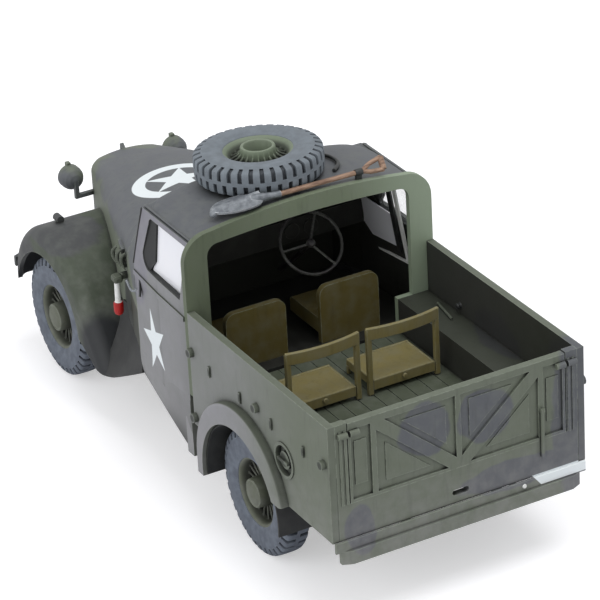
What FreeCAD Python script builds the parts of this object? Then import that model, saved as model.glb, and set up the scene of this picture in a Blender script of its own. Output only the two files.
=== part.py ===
import FreeCAD, Part
import math
import os
import Sketcher

os.makedirs("parts", exist_ok=True)
doc = FreeCAD.newDocument("light_utility_car")

# Light utility car, a plastic kit at a thirty-fifth of full size, in millimetres.
# X runs to the nose, Y to the car's left and Z up from the floor that the tyres stand on.
# The origin lies on that floor, under the middle of the car's length.

SIZES = (
    # Wheels
    ("wheel_base", 68.0),
    ("rear_overhang", 26.0),
    ("tyre_radius", 10.1),
    ("tyre_width", 4.6),
    ("tread_width", 3.5),
    ("lug_height", 0.55),
    ("lug_width", 0.85),
    ("lug_inset", 0.12),
    ("wheel_offset", 18.4),
    ("bead_radius", 5.5),
    ("rim_lip", 0.5),
    ("rim_width", 3.8),
    ("rim_wall", 0.4),
    ("rim_dish", 1.2),
    ("rim_rib_width", 0.35),
    ("rim_rib_height", 0.75),
    ("cap_radius", 2.9),
    ("cap_height", 1.55),
    ("spare_hub_radius", 2.65),
    ("hub_radius", 1.9),
    ("stub_radius", 0.9),
    ("stub_clearance", 0.05),
    ("running_gap", 0.35),
    # Axles and springs
    ("drum_radius", 4.2),
    ("drum_width", 1.7),
    ("axle_radius", 0.9),
    ("differential_radius", 2.9),
    ("differential_depth", 1.8),
    ("knuckle_radius", 0.7),
    ("knuckle_height", 3.2),
    ("track_rod_radius", 0.35),
    ("track_rod_gap", 2.4),
    ("spring_width", 1.2),
    ("spring_leaf", 0.8),
    ("spring_reach", 9.5),
    ("spring_rise", 1.6),
    # Chassis and running gear
    ("rail_width", 1.6),
    ("rail_height", 2.6),
    ("rail_offset", 7.0),
    ("cross_width", 1.6),
    ("rail_rear_end", 2.5),
    ("rail_front_gap", 1.0),
    ("engine_half_width", 4.2),
    ("engine_length", 18.0),
    ("engine_gap", 11.0),
    ("engine_top", 24.0),
    ("gearbox_half_width", 2.1),
    ("pipe_radius", 0.45),
    ("silencer_radius", 1.15),
    ("silencer_length", 12.4),
    ("tank_length", 13.0),
    ("tank_clearance", 0.4),
    # Load bed
    ("bed_length", 42.4),
    ("body_width", 43.2),
    ("bed_top", 33.8),
    ("bed_bottom", 14.7),
    ("bed_wall", 1.2),
    ("floor_top", 19.4),
    ("floor_thickness", 1.0),
    ("plank_groove", 0.22),
    ("shelf_top", 25.2),
    ("shelf_wall", 0.7),
    ("shelf_edge", 15.6),
    ("knob_radius", 0.75),
    ("knob_height", 0.8),
    ("cleat_width", 0.45),
    ("cleat_length", 1.8),
    ("cleat_height", 0.35),
    ("cleat_line", 26.7),
    ("cleat_pitch", 9.55),
    ("cleat_inset", 6.7),
    ("filler_radius", 2.4),
    ("filler_ring", 0.45),
    ("filler_depth", 0.7),
    ("filler_cap_radius", 1.4),
    ("filler_place", 13.4),
    ("filler_height", 22.25),
    # Tailgate and rear sill
    ("gate_half_width", 18.3),
    ("gate_bottom", 20.5),
    ("gate_drop", 0.2),
    ("gate_play", 0.15),
    ("gate_post", 14.1),
    ("rib_width", 0.9),
    ("rib_height", 0.4),
    ("panel_step", 0.15),
    ("gate_rail", 1.1),
    ("catch_radius", 0.5),
    ("catch_length", 1.5),
    ("chain_radius", 0.3),
    ("chain_length", 7.9),
    ("chain_foot", 17.7),
    ("slot_half_length", 1.0),
    ("slot_radius", 0.45),
    ("slot_height", 16.5),
    # Mudguards
    ("panel", 0.8),
    ("rear_guard_reach", 1.6),
    ("rear_guard_radius", 13.5),
    ("rear_guard_lift", 1.4),
    ("rear_guard_foot", 8.4),
    ("rear_guard_round", 0.5),
    ("arch_gap", 1.4),
    ("front_guard_half_width", 21.9),
    ("front_guard_inner", 3.2),
    ("front_guard_round", 2.4),
    ("front_guard_tip", 13.0),
    ("front_guard_height", 25.8),
    ("front_guard_nose", 13.0),
    ("front_guard_tail", 21.6),
    ("front_guard_foot", 8.5),
    ("side_lamp_radius", 0.65),
    ("side_lamp_length", 1.7),
    ("side_lamp_offset", 17.2),
    ("side_lamp_place", 3.0),
    # Cab
    ("hoop_depth", 1.0),
    ("hoop_side", 4.0),
    ("hoop_top", 47.4),
    ("hoop_crown", 1.3),
    ("hoop_bar", 2.8),
    ("hoop_corner", 4.6),
    ("hoop_inner_corner", 1.9),
    ("cab_length", 19.6),
    ("waist", 34.0),
    ("roof_side", 44.2),
    ("roof_wall", 0.6),
    ("roof_half_width", 19.8),
    ("roof_shoulder", 3.2),
    ("roof_shoulder_radius", 3.6),
    ("pillar_lean", 2.8),
    ("roof_fall", 0.9),
    ("gutter", 0.35),
    ("door_wall", 0.9),
    ("door_ease", 0.3),
    ("door_turn", 1.9),
    ("door_turn_height", 2.4),
    ("door_turn_radius", 2.6),
    ("door_foot_rear", 12.3),
    ("door_foot_front", 16.0),
    ("apron_length", 2.0),
    ("window_frame", 1.6),
    ("window_corner", 2.2),
    ("moulding_width", 0.8),
    ("moulding_height", 0.25),
    ("moulding_drop", 1.3),
    ("handle_length", 2.6),
    ("handle_radius", 0.3),
    ("glass", 0.4),
    ("frame_bar", 1.0),
    ("fit_gap", 0.1),
    # Scuttle, bonnet and grille
    ("scuttle_length", 7.0),
    ("scuttle_top", 38.2),
    ("scuttle_half_width", 20.6),
    ("bonnet_length", 37.2),
    ("bonnet_foot", 18.5),
    ("bonnet_seam", 0.3),
    ("nose_half_width", 6.5),
    ("nose_top", 30.4),
    ("louvre_length", 3.4),
    ("louvre_height", 0.5),
    ("louvre_pitch", 1.1),
    ("louvre_rise", 10.0),
    ("louvre_inset", 1.6),
    ("grille_depth", 1.6),
    ("grille_foot", 16.6),
    ("grille_shell", 1.1),
    ("grille_wall", 0.5),
    ("grille_bar", 0.35),
    ("cap_fin_height", 1.3),
    ("cap_fin_length", 2.4),
    ("cap_fin_width", 0.7),
    # Lamps and bumpers
    ("lamp_radius", 2.05),
    ("lamp_offset", 9.75),
    ("lamp_height", 27.4),
    ("lamp_visor", 0.9),
    ("lamp_arm", 0.7),
    ("lamp_arm_height", 24.6),
    ("bumper_reach", 4.1),
    ("bumper_half_width", 20.4),
    ("bumper_height", 1.7),
    ("bumper_depth", 0.7),
    ("bumper_chamfer", 1.6),
    ("bumper_middle", 14.0),
    ("rear_bumper_middle", 12.1),
    ("rear_bumper_height", 2.2),
    ("rear_bumper_gap", 0.3),
    ("bumper_iron", 1.0),
    # Seats and controls
    ("seat_inner", 3.0),
    ("seat_outer", 13.5),
    ("seat_gap", 2.5),
    ("seat_back_height", 29.2),
    ("seat_back_thickness", 1.0),
    ("seat_cushion_top", 23.6),
    ("seat_cushion_length", 9.0),
    ("seat_round", 1.6),
    ("bench_gap", 15.2),
    ("bench_rail_top", 30.9),
    ("bench_rail_height", 2.0),
    ("bench_rail_thickness", 0.6),
    ("bench_bow", 0.9),
    ("bench_inner", 0.6),
    ("bench_outer", 13.3),
    ("bench_post", 0.7),
    ("pan_length", 7.1),
    ("pan_top", 21.8),
    ("pan_thickness", 1.2),
    ("pan_side_inset", 1.1),
    ("pan_round", 0.35),
    ("dash_depth", 1.4),
    ("dash_height", 4.0),
    ("dial_radius", 1.3),
    ("dial_pitch", 3.4),
    ("dial_rim", 0.25),
    ("steering_radius", 5.4),
    ("steering_wire", 0.35),
    ("steering_offset", 8.2),
    ("steering_gap", 7.5),
    ("steering_height", 31.5),
    ("steering_hub", 0.9),
    ("column_foot", 21.4),
    # Spare wheel, shovel and width marker
    ("spare_place", 10.9),
    ("spare_offset", 1.8),
    ("spare_gap", 0.08),
    ("shovel_shaft", 0.5),
    ("shovel_length", 30.0),
    ("shovel_inset", 0.15),
    ("blade_length", 7.4),
    ("blade_width", 4.0),
    ("blade_thickness", 0.45),
    ("blade_bend", 3.4),
    ("grip_length", 2.2),
    ("marker_radius", 0.5),
    ("marker_tip_radius", 0.75),
    ("marker_tip_height", 2.2),
    ("marker_height", 26.2),
    ("marker_foot", 19.4),
    ("marker_place", 9.4),
    ("marker_offset", 20.0),
    ("marker_box", 2.0),
    # Every cut runs past the face that it opens by this much
    ("overrun", 1.0),
    # What is fused reaches into its carrier by this much
    ("sink", 0.1),
)

LUG_COUNT = 36
RIB_COUNT = 20
PLANK_COUNT = 11
BAR_COUNT = 13
LOUVRE_COUNT = 3
CLEAT_COUNT = 4
SPOKE_COUNT = 3

sheet = doc.addObject("Spreadsheet::Sheet", "Sizes")
for row, (alias, value) in enumerate(SIZES, start=1):
    sheet.set("A%d" % row, alias)
    sheet.set("B%d" % row, str(value))
    sheet.setAlias("B%d" % row, alias)
doc.recompute()


class Size(float):
    """A number that keeps the formula it comes from, so that a property can be tied to it."""

    def __new__(cls, value, formula):
        made = super().__new__(cls, value)
        made.formula = formula
        return made

    def __add__(self, other):
        return worked_out(self, "+", other, float(self) + float(other))

    def __radd__(self, other):
        return worked_out(other, "+", self, float(other) + float(self))

    def __sub__(self, other):
        return worked_out(self, "-", other, float(self) - float(other))

    def __rsub__(self, other):
        return worked_out(other, "-", self, float(other) - float(self))

    def __mul__(self, other):
        return worked_out(self, "*", other, float(self) * float(other))

    def __rmul__(self, other):
        return worked_out(other, "*", self, float(other) * float(self))

    def __truediv__(self, other):
        return worked_out(self, "/", other, float(self) / float(other))

    def __neg__(self):
        return worked_out(0, "-", self, -float(self))


def formula_of(value):
    return value.formula if isinstance(value, Size) else repr(float(value))


def worked_out(first, sign, second, value):
    return Size(value, "(%s %s %s)" % (formula_of(first), sign, formula_of(second)))


def root(value):
    return Size(math.sqrt(value), "sqrt(%s)" % formula_of(value))


def tie(thing, place, value):
    thing.setExpression(place, formula_of(value))


class Sizes:
    """Every cell of the sheet as an attribute of the same name."""


s = Sizes()
for alias, value in SIZES:
    setattr(s, alias, Size(sheet.get(alias), "Sizes." + alias))

V = FreeCAD.Vector
ALONG_X = V(1, 0, 0)
ALONG_Y = V(0, 1, 0)
ALONG_Z = V(0, 0, 1)
ORIGIN = V(0, 0, 0)
HANDS = (("left", 1), ("right", -1))

# Places that several pieces share
rear_reach = s.rear_bumper_gap + s.bumper_depth
body_length = s.bed_length + s.cab_length + s.scuttle_length + s.bonnet_length
bed_rear = (rear_reach - body_length - s.bumper_reach) / 2
bed_front = bed_rear + s.bed_length
cab_rear = bed_front + s.hoop_depth
cab_front = bed_front + s.cab_length
roof_front = cab_front - s.pillar_lean
bonnet_rear = cab_front + s.scuttle_length
nose = bonnet_rear + s.bonnet_length
grille_front = nose + s.grille_depth
bumper_front = nose + s.bumper_reach
rear_axle_x = bed_rear + s.rear_overhang
front_axle_x = rear_axle_x + s.wheel_base
hub_height = s.tyre_radius
half_body = s.body_width / 2
inner_side = half_body - s.bed_wall
door_inner = half_body - s.door_wall
bed_inner = s.shelf_edge - s.shelf_wall
rail_top = s.floor_top - s.floor_thickness
rail_foot = rail_top - s.rail_height
rail_rear = bed_rear + s.rail_rear_end
rail_front = nose - s.rail_front_gap
arch_radius = s.tyre_radius + s.arch_gap

nodes = []


def node(piece, label):
    """Marks a finished sub-part: its label names its file."""
    piece.Label = label
    nodes.append(piece)
    return piece


# Plain solids tied to the sheet
def seat(thing, x, y, z):
    for axis, value in zip("xyz", (x, y, z)):
        tie(thing, "Placement.Base." + axis, value)
    return thing


def block(name, x, y, z):
    """A block between a low and a high place on each axis."""
    made = doc.addObject("Part::Box", name)
    for side, (low, high) in zip(("Length", "Width", "Height"), (x, y, z)):
        tie(made, side, high - low)
    return seat(made, x[0], y[0], z[0])


TURNS = {
    "x": FreeCAD.Rotation(ALONG_Y, 90),
    "y": FreeCAD.Rotation(ALONG_X, -90),
    "z": FreeCAD.Rotation(),
}


def round_bar(name, axis, radius, low, high, others):
    """A round bar along one axis. The two other places come in the order of the axes."""
    made = doc.addObject("Part::Cylinder", name)
    made.Placement = FreeCAD.Placement(ORIGIN, TURNS[axis])
    tie(made, "Radius", radius)
    tie(made, "Height", high - low)
    places = list(others)
    places.insert("xyz".index(axis), low)
    return seat(made, *places)


def slanted_bar(name, start, end, radius):
    """A round bar between two points that are given as triples of sizes."""
    made = doc.addObject("Part::Cylinder", name)
    steps = [b - a for a, b in zip(start, end)]
    made.Placement = FreeCAD.Placement(ORIGIN, FreeCAD.Rotation(ALONG_Z, V(*steps)))
    tie(made, "Radius", radius)
    tie(made, "Height", root(steps[0] * steps[0] + steps[1] * steps[1] + steps[2] * steps[2]))
    return seat(made, *start)


def ball(name, radius, x, y, z):
    made = doc.addObject("Part::Sphere", name)
    tie(made, "Radius", radius)
    return seat(made, x, y, z)


def fused(name, pieces):
    made = doc.addObject("Part::MultiFuse", name)
    made.Shapes = list(pieces)
    made.Refine = True
    return made


def cut(name, base, tool):
    made = doc.addObject("Part::Cut", name)
    made.Base = base
    made.Tool = tool
    made.Refine = True
    return made


def common(name, pieces):
    made = doc.addObject("Part::MultiCommon", name)
    made.Shapes = list(pieces)
    made.Refine = True
    return made


def mirrored(name, source):
    """The same piece on the other side of the car."""
    made = doc.addObject("Part::Mirroring", name)
    made.Source = source
    made.Base = ORIGIN
    made.Normal = ALONG_Y
    return made


def pair(source, label):
    """The left piece and its mirror image on the right."""
    node(source, label + "_left")
    return node(mirrored(label + "_right", source), label + "_right")


def formed(name, shape):
    """A piece whose surface is worked out from the sheet by the functions below."""
    made = doc.addObject("Part::Feature", name)
    made.Shape = shape
    return made


# Sketched bodies. Each plane has its role and the sense of its normal along the axis.
PLANES = {
    "side": ("XZ_Plane", -1),
    "across": ("YZ_Plane", 1),
    "above": ("XY_Plane", 1),
}


def new_body(name):
    return doc.addObject("PartDesign::Body", name)


def origin_part(body, role):
    return [part for part in body.Origin.OriginFeatures if part.Role == role][0]


def curve_between(start, end, radius):
    """An arc of a positive radius bulges to the right of the way, a negative one to the left."""
    way = end - start
    middle = (start + end) / 2
    left = V(-way.y, way.x, 0).normalize()
    size = abs(radius)
    reach = math.sqrt(max(size * size - way.Length * way.Length / 4, 0))
    centre = middle + left * (reach if radius > 0 else -reach)
    turn = [math.atan2(p.y - centre.y, p.x - centre.x) for p in (start, end)]
    if radius < 0:
        turn.reverse()
    return Part.ArcOfCircle(Part.Circle(centre, ALONG_Z, size), turn[0], turn[1])


def attached_sketch(body, plane, place):
    role, way = PLANES[plane]
    sketch = body.newObject("Sketcher::SketchObject", body.Name + "_outline")
    sketch.AttachmentSupport = (origin_part(body, role), [""])
    sketch.MapMode = "FlatFace"
    tie(sketch, "AttachmentOffset.Base.z", place * way)
    return sketch


def outline(body, plane, place, corners):
    """A closed outline, anticlockwise, with each corner tied to its two places.

    A third value in a corner is the radius of the arc that leads to the next one."""
    sketch = attached_sketch(body, plane, place)
    count = len(corners)
    points = [V(corner[0], corner[1], 0) for corner in corners]
    curves = []
    starts = []
    for index, corner in enumerate(corners):
        start, end = points[index], points[(index + 1) % count]
        if len(corner) == 3:
            curves.append(curve_between(start, end, corner[2]))
            starts.append(1 if corner[2] > 0 else 2)
        else:
            curves.append(Part.LineSegment(start, end))
            starts.append(1)
    sketch.addGeometry(curves, False)
    joints = []
    for index in range(count):
        following = (index + 1) % count
        joints.append(Sketcher.Constraint("Coincident", index, 3 - starts[index], following, starts[following]))
    sketch.addConstraint(joints)
    measures = []
    for index, corner in enumerate(corners):
        measures.append((("DistanceX", -1, 1, index, starts[index]), corner[0]))
        measures.append((("DistanceY", -1, 1, index, starts[index]), corner[1]))
        if len(corner) == 3:
            measures.append((("Radius", index), corner[2] if corner[2] > 0 else -corner[2]))
    constrain(sketch, measures)
    return sketch


def constrain(sketch, measures):
    """Measured constraints, each tied to the sheet."""
    numbers = sketch.addConstraint([Sketcher.Constraint(*places, float(value)) for places, value in measures])
    for number, (places, value) in zip(numbers, measures):
        tie(sketch, "Constraints[%d]" % number, value)


def circle(body, plane, place, centre, radius):
    sketch = attached_sketch(body, plane, place)
    sketch.addGeometry(Part.Circle(V(centre[0], centre[1], 0), ALONG_Z, float(radius)), False)
    measures = [(("DistanceX", -1, 1, 0, 3), centre[0]), (("DistanceY", -1, 1, 0, 3), centre[1])]
    constrain(sketch, measures + [(("Radius", 0), radius)])
    return sketch


def settle(body, feature):
    body.Tip = feature
    doc.recompute()
    return feature


def pad(body, plane, low, high, corners):
    made = body.newObject("PartDesign::Pad", body.Name + "_pad")
    made.Profile = outline(body, plane, low, corners)
    made.Reversed = PLANES[plane][1] < 0
    tie(made, "Length", high - low)
    return settle(body, made)


def sink_sketch(body, plane, depth, sketch):
    """Cuts the sketch along its axis, and makes sure that something is cut."""
    before = body.Shape.Volume
    made = body.newObject("PartDesign::Pocket", body.Name + "_pocket")
    made.Profile = sketch
    made.Reversed = PLANES[plane][1] > 0
    tie(made, "Length", depth)
    settle(body, made)
    if body.Shape.Volume >= before:
        raise RuntimeError("cuts nothing: " + body.Label)
    return made


def pocket(body, plane, low, high, corners):
    return sink_sketch(body, plane, high - low, outline(body, plane, low, corners))


def bore(body, plane, low, high, centre, radius):
    return sink_sketch(body, plane, high - low, circle(body, plane, low, centre, radius))


def turned(body, corners):
    """An outline of (radius, place along the axle) turned about the axle."""
    sketch = outline(body, "above", 0, corners)
    made = body.newObject("PartDesign::Revolution", body.Name + "_turn")
    made.Profile = sketch
    made.ReferenceAxis = (sketch, ["V_Axis"])
    made.Angle = 360
    return settle(body, made)


def around(body, feature, count):
    made = body.newObject("PartDesign::PolarPattern", body.Name + "_ring")
    made.Originals = [feature]
    made.Axis = (origin_part(body, "Y_Axis"), [""])
    made.Angle = 360
    made.Occurrences = count
    return settle(body, made)


def spread(body, feature, role, length, count):
    made = body.newObject("PartDesign::LinearPattern", body.Name + "_row")
    made.Originals = [feature]
    made.Direction = (origin_part(body, role), [""])
    tie(made, "Length", length)
    made.Occurrences = count
    return settle(body, made)


def loft(body, kind, sections, plane="across"):
    """A ruled solid through outlines on parallel planes, added or cut away."""
    sketches = [outline(body, plane, place, corners) for place, corners in sections]
    made = body.newObject("PartDesign::" + kind, body.Name + "_loft")
    made.Profile = sketches[0]
    made.Sections = sketches[1:]
    made.Ruled = True
    return settle(body, made)


def rounded(body, radius, chosen):
    """Rounds the edges that the test picks from the body's present tip."""
    tip = body.Tip
    names = ["Edge%d" % (n + 1) for n, edge in enumerate(tip.Shape.Edges) if chosen(edge)]
    made = body.newObject("PartDesign::Fillet", body.Name + "_round")
    made.Base = (tip, names)
    tie(made, "Radius", radius)
    return settle(body, made)


def rectangle(low_a, high_a, low_b, high_b):
    return [(low_a, low_b), (high_a, low_b), (high_a, high_b), (low_a, high_b)]


def arc_radius(half_chord, rise):
    """The radius of an arc that rises by so much over half its chord."""
    return (half_chord * half_chord + rise * rise) / (rise * 2)


def flats(radius, count):
    """A regular polygon whose flats lie at the radius, one flat square to the first axis."""
    corner = radius / math.cos(math.pi / count)
    turns = [2 * math.pi * (step + 0.5) / count for step in range(count)]
    return [(corner * math.cos(turn), corner * math.sin(turn)) for turn in turns]


# Tyres: a carcass with one flat to each lug, dished sidewalls and a ring of lugs
tyre = new_body("tyre_form")
half_tyre = s.tyre_width / 2
half_tread = s.tread_width / 2
bead = s.rim_width / 2 - s.rim_wall
lip_radius = s.bead_radius + s.rim_lip
groove_radius = s.tyre_radius - s.lug_height
wall_height = s.tyre_radius - s.bead_radius
bulge_share = 0.5
shoulder_share = 0.8
bulge_radius = s.bead_radius + wall_height * bulge_share
shoulder_radius = s.bead_radius + wall_height * shoulder_share
carcass = [(-half_tyre, shoulder_radius), (-half_tread, groove_radius)]
carcass += [(half_tread, groove_radius), (half_tyre, shoulder_radius)]
loft(tyre, "AdditiveLoft", [(y, flats(radius, LUG_COUNT)) for y, radius in carcass], "side")
wall_slope = (half_tyre - bead) / (bulge_radius - lip_radius)
seat_depth = bead - wall_slope * s.rim_lip
for side in (-1, 1):
    dish = [(side * half_tyre, flats(bulge_radius, LUG_COUNT)), (side * seat_depth, flats(s.bead_radius, LUG_COUNT))]
    loft(tyre, "SubtractiveLoft", dish, "side")
pocket(tyre, "side", -half_tyre, half_tyre, flats(s.bead_radius, LUG_COUNT))
lug_root = groove_radius - s.lug_height
lug_end = half_tyre - s.lug_inset
lug_outline = [(lug_root, -lug_end), (s.tyre_radius, -half_tread), (s.tyre_radius, half_tread), (lug_root, lug_end)]
lug = pad(tyre, "above", -s.lug_width / 2, s.lug_width / 2, lug_outline)
around(tyre, lug, LUG_COUNT)

# Rims: a pressed dish with ribs round a domed cap, one flat to each rib
rim = new_body("rim_form")
half_rim = s.rim_width / 2
barrel = s.bead_radius - s.rim_wall
bore_radius = s.stub_radius + s.stub_clearance
dish_face = half_rim - s.rim_dish
dish_back = dish_face - s.rim_wall
bore_end = dish_face + s.rim_wall
corner_share = math.cos(math.pi / RIB_COUNT)
seat_radius = s.bead_radius * corner_share
lip_flat = lip_radius * corner_share
pad(rim, "side", -half_rim, bead + s.sink, flats(seat_radius, RIB_COUNT))
pad(rim, "side", bead, half_rim, flats(lip_flat, RIB_COUNT))
pocket(rim, "side", dish_face, half_rim + s.overrun, flats(barrel, RIB_COUNT))
pocket(rim, "side", -half_rim - s.overrun, dish_back, flats(barrel, RIB_COUNT))
cap_shares = ((0.0, 1.0), (0.55, 0.86), (0.88, 0.55), (1.0, 0.2))
cap_steps = [(dish_face - s.sink + s.cap_height * rise, flats(s.cap_radius * size, RIB_COUNT)) for rise, size in cap_shares]
loft(rim, "AdditiveLoft", cap_steps, "side")
pad(rim, "side", -bead, dish_back + s.sink, flats(s.hub_radius, RIB_COUNT))
bore(rim, "side", -half_rim - s.overrun, bore_end, (0, 0), bore_radius)
rib_fall_share = 0.6
rib_foot = s.cap_radius - s.rim_rib_width
rib_outline = [(rib_foot, dish_face - s.sink), (barrel + s.sink, dish_face - s.sink)]
rib_outline += [(barrel + s.sink, dish_face + s.rim_rib_height * rib_fall_share)]
rib_outline += [(rib_foot, dish_face + s.rim_rib_height)]
rib = pad(rim, "above", -s.rim_rib_width / 2, s.rim_rib_width / 2, rib_outline)
around(rim, rib, RIB_COUNT)

# The spare has an open hub, so its ribs stand free between hub ring and barrel
open_rim = new_body("open_rim_form")
pad(open_rim, "side", -half_rim, bead + s.sink, flats(seat_radius, RIB_COUNT))
pad(open_rim, "side", bead, half_rim, flats(lip_flat, RIB_COUNT))
pocket(open_rim, "side", -half_rim - s.overrun, half_rim + s.overrun, flats(barrel, RIB_COUNT))
hub_top = dish_face + s.rim_rib_height
spoke_foot = s.spare_hub_radius + s.rim_wall / 2
spoke_outline = [(spoke_foot, dish_back), (barrel + s.sink, dish_back - s.rim_wall)]
spoke_outline += [(barrel + s.sink, dish_face), (spoke_foot, hub_top - s.rim_wall / 2)]
spoke = pad(open_rim, "above", -s.rim_rib_width / 2, s.rim_rib_width / 2, spoke_outline)
around(open_rim, spoke, RIB_COUNT)
pad(open_rim, "side", dish_back, hub_top, flats(s.spare_hub_radius + s.rim_wall, RIB_COUNT))
pocket(open_rim, "side", dish_back - s.overrun, hub_top + s.overrun, flats(s.spare_hub_radius, RIB_COUNT))


def placed(name, source, x, y, z, rotation=FreeCAD.Rotation()):
    """A copy of a form at its own place."""
    made = doc.addObject("Part::Compound", name)
    made.Links = [source]
    made.Placement = FreeCAD.Placement(ORIGIN, rotation)
    return seat(made, x, y, z)


for end, axle_x in (("front", front_axle_x), ("rear", rear_axle_x)):
    for kind, form in (("tyre", tyre), ("rim", rim)):
        wheel = placed("%s_%s_left" % (kind, end), form, axle_x, s.wheel_offset, hub_height)
        pair(wheel, "%s_%s" % (kind, end))


# Axles: beam, drums, stubs, leaf springs and shackles
def spring(name, axle_x):
    """A bowed leaf under its rail, with a shackle up to the rail at each end."""
    low_y = s.rail_offset + (s.rail_width - s.spring_width) / 2
    across = (low_y, low_y + s.spring_width)
    foot = hub_height + s.axle_radius / 2
    end_z = foot + s.spring_rise
    bow = arc_radius(s.spring_reach, s.spring_rise)
    leaf = new_body(name)
    corners = [(axle_x - s.spring_reach, end_z, bow), (axle_x + s.spring_reach, end_z)]
    corners += [(axle_x + s.spring_reach, end_z + s.spring_leaf, -bow), (axle_x - s.spring_reach, end_z + s.spring_leaf)]
    pad(leaf, "side", across[0], across[1], corners)
    pieces = [leaf]
    for place in (axle_x - s.spring_reach, axle_x + s.spring_reach - s.spring_leaf):
        pieces.append(block(name + "_shackle", (place, place + s.spring_leaf), across, (end_z, rail_foot)))
    return pieces


def axle(name, axle_x, extras):
    inner = s.wheel_offset - half_rim + s.rim_wall - s.running_gap
    drum_inner = inner - s.drum_width
    stub_end = s.wheel_offset + bore_end - s.running_gap
    here = (axle_x, hub_height)
    left = [round_bar(name + "_drum", "y", s.drum_radius, drum_inner, inner, here)]
    left.append(round_bar(name + "_stub", "y", s.stub_radius, inner - s.sink, stub_end, here))
    left += spring(name + "_spring", axle_x)
    right = [mirrored(piece.Name + "_right", piece) for piece in left]
    beam = round_bar(name + "_beam", "y", s.axle_radius, -drum_inner - s.sink, drum_inner + s.sink, here)
    return node(fused(name, [beam] + left + right + extras), name)


casing = round_bar("differential", "x", s.differential_radius, rear_axle_x - s.differential_depth,
                   rear_axle_x + s.differential_depth, (0, hub_height))
axle("rear_axle", rear_axle_x, [casing])

# The front beam ends in knuckles, joined behind it by the track rod
knuckle_y = s.wheel_offset - half_rim - s.drum_width - s.knuckle_radius
rod_x = front_axle_x - s.track_rod_gap
steering_gear = [round_bar("track_rod", "y", s.track_rod_radius, -knuckle_y, knuckle_y, (rod_x, hub_height))]
for hand, side in HANDS:
    upright = (hub_height - s.knuckle_height / 2, hub_height + s.knuckle_height / 2)
    steering_gear.append(round_bar("knuckle", "z", s.knuckle_radius, upright[0], upright[1], (front_axle_x, side * knuckle_y)))
    arm_side = (side * knuckle_y - s.track_rod_radius, side * knuckle_y + s.track_rod_radius)
    arm_height = (hub_height - s.track_rod_radius, hub_height + s.track_rod_radius)
    steering_gear.append(block("steering_arm", (rod_x, front_axle_x), arm_side, arm_height))
axle("front_axle", front_axle_x, steering_gear)

# Chassis: two rails and the members between them
rails = []
for side in (-1, 1):
    edge = side * s.rail_offset
    far = side * (s.rail_offset + s.rail_width)
    across = (edge, far) if side > 0 else (far, edge)
    rails.append(block("rail", (rail_rear, rail_front), across, (rail_foot, rail_top)))
cross_shares = (0.0, 0.2, 0.42, 0.62, 0.985)
for share in cross_shares:
    x = rail_rear + (rail_front - rail_rear) * share
    reach = s.rail_offset + s.sink
    rails.append(block("cross_member", (x, x + s.cross_width), (-reach, reach), (rail_foot, rail_top)))
node(fused("chassis_frame", rails), "chassis_frame")

# Load bed sides with wheel arches, boxes over the wheels, knobs and cleats
side_panel = new_body("bed_side_panel")
pad(side_panel, "side", inner_side, half_body, rectangle(bed_rear, bed_front, s.bed_bottom, s.bed_top))
bore(side_panel, "side", inner_side - s.overrun, half_body + s.overrun, (rear_axle_x, hub_height), arch_radius)
box_x = (bed_rear + s.bed_wall, bed_front)
side_parts = [side_panel]
side_parts.append(block("shelf", box_x, (s.shelf_edge, inner_side), (s.shelf_top - s.shelf_wall, s.shelf_top)))
side_parts.append(block("wheel_wall", box_x, (bed_inner, s.shelf_edge), (s.bed_bottom, s.shelf_top)))
knob_inset = s.knob_radius + s.bed_wall / 2
knob_line = s.cleat_line + s.knob_radius
knob_foot = s.bed_bottom + s.knob_radius * 2
knob_spots = [(bed_front - s.knob_radius, knob_line), (bed_rear + knob_inset, knob_line)]
knob_spots += [(bed_front - s.knob_radius, knob_foot), (bed_rear + s.bed_length / 2, knob_line)]
for spot in knob_spots:
    side_parts.append(round_bar("knob", "y", s.knob_radius, half_body - s.sink, half_body + s.knob_height, spot))
for number in range(CLEAT_COUNT):
    x = bed_front - s.cleat_inset - s.cleat_pitch * number
    low = s.cleat_line - s.cleat_length / 2
    cleat = block("cleat", (x, x + s.cleat_width), (half_body - s.sink, half_body + s.cleat_height), (low, low + s.cleat_length))
    side_parts.append(cleat)
plain_side = fused("bed_side_form", side_parts)
node(mirrored("bed_side_right", plain_side), "bed_side_right")

# The left side also has the filler in its round recess
filler = (bed_rear + s.filler_place, s.filler_height)
recess_floor = half_body - s.filler_depth
recess = round_bar("filler_recess", "y", s.filler_radius, recess_floor, half_body + s.overrun, filler)
ring_outer = round_bar("filler_ring_outer", "y", s.filler_radius + s.filler_ring, half_body - s.sink,
                       half_body + s.filler_ring / 2, filler)
filler_cap = round_bar("filler_cap", "y", s.filler_cap_radius, recess_floor - s.sink, half_body, filler)
wing = block("filler_wing", (filler[0] - s.filler_cap_radius, filler[0] + s.filler_cap_radius),
             (half_body - s.sink, half_body + s.filler_ring),
             (filler[1] - s.filler_ring / 2, filler[1] + s.filler_ring / 2))
side_with_ring = fused("side_with_ring", [plain_side, ring_outer])
side_with_recess = cut("side_with_recess", side_with_ring, recess)
node(fused("bed_side_left", [side_with_recess, filler_cap, wing]), "bed_side_left")

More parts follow.
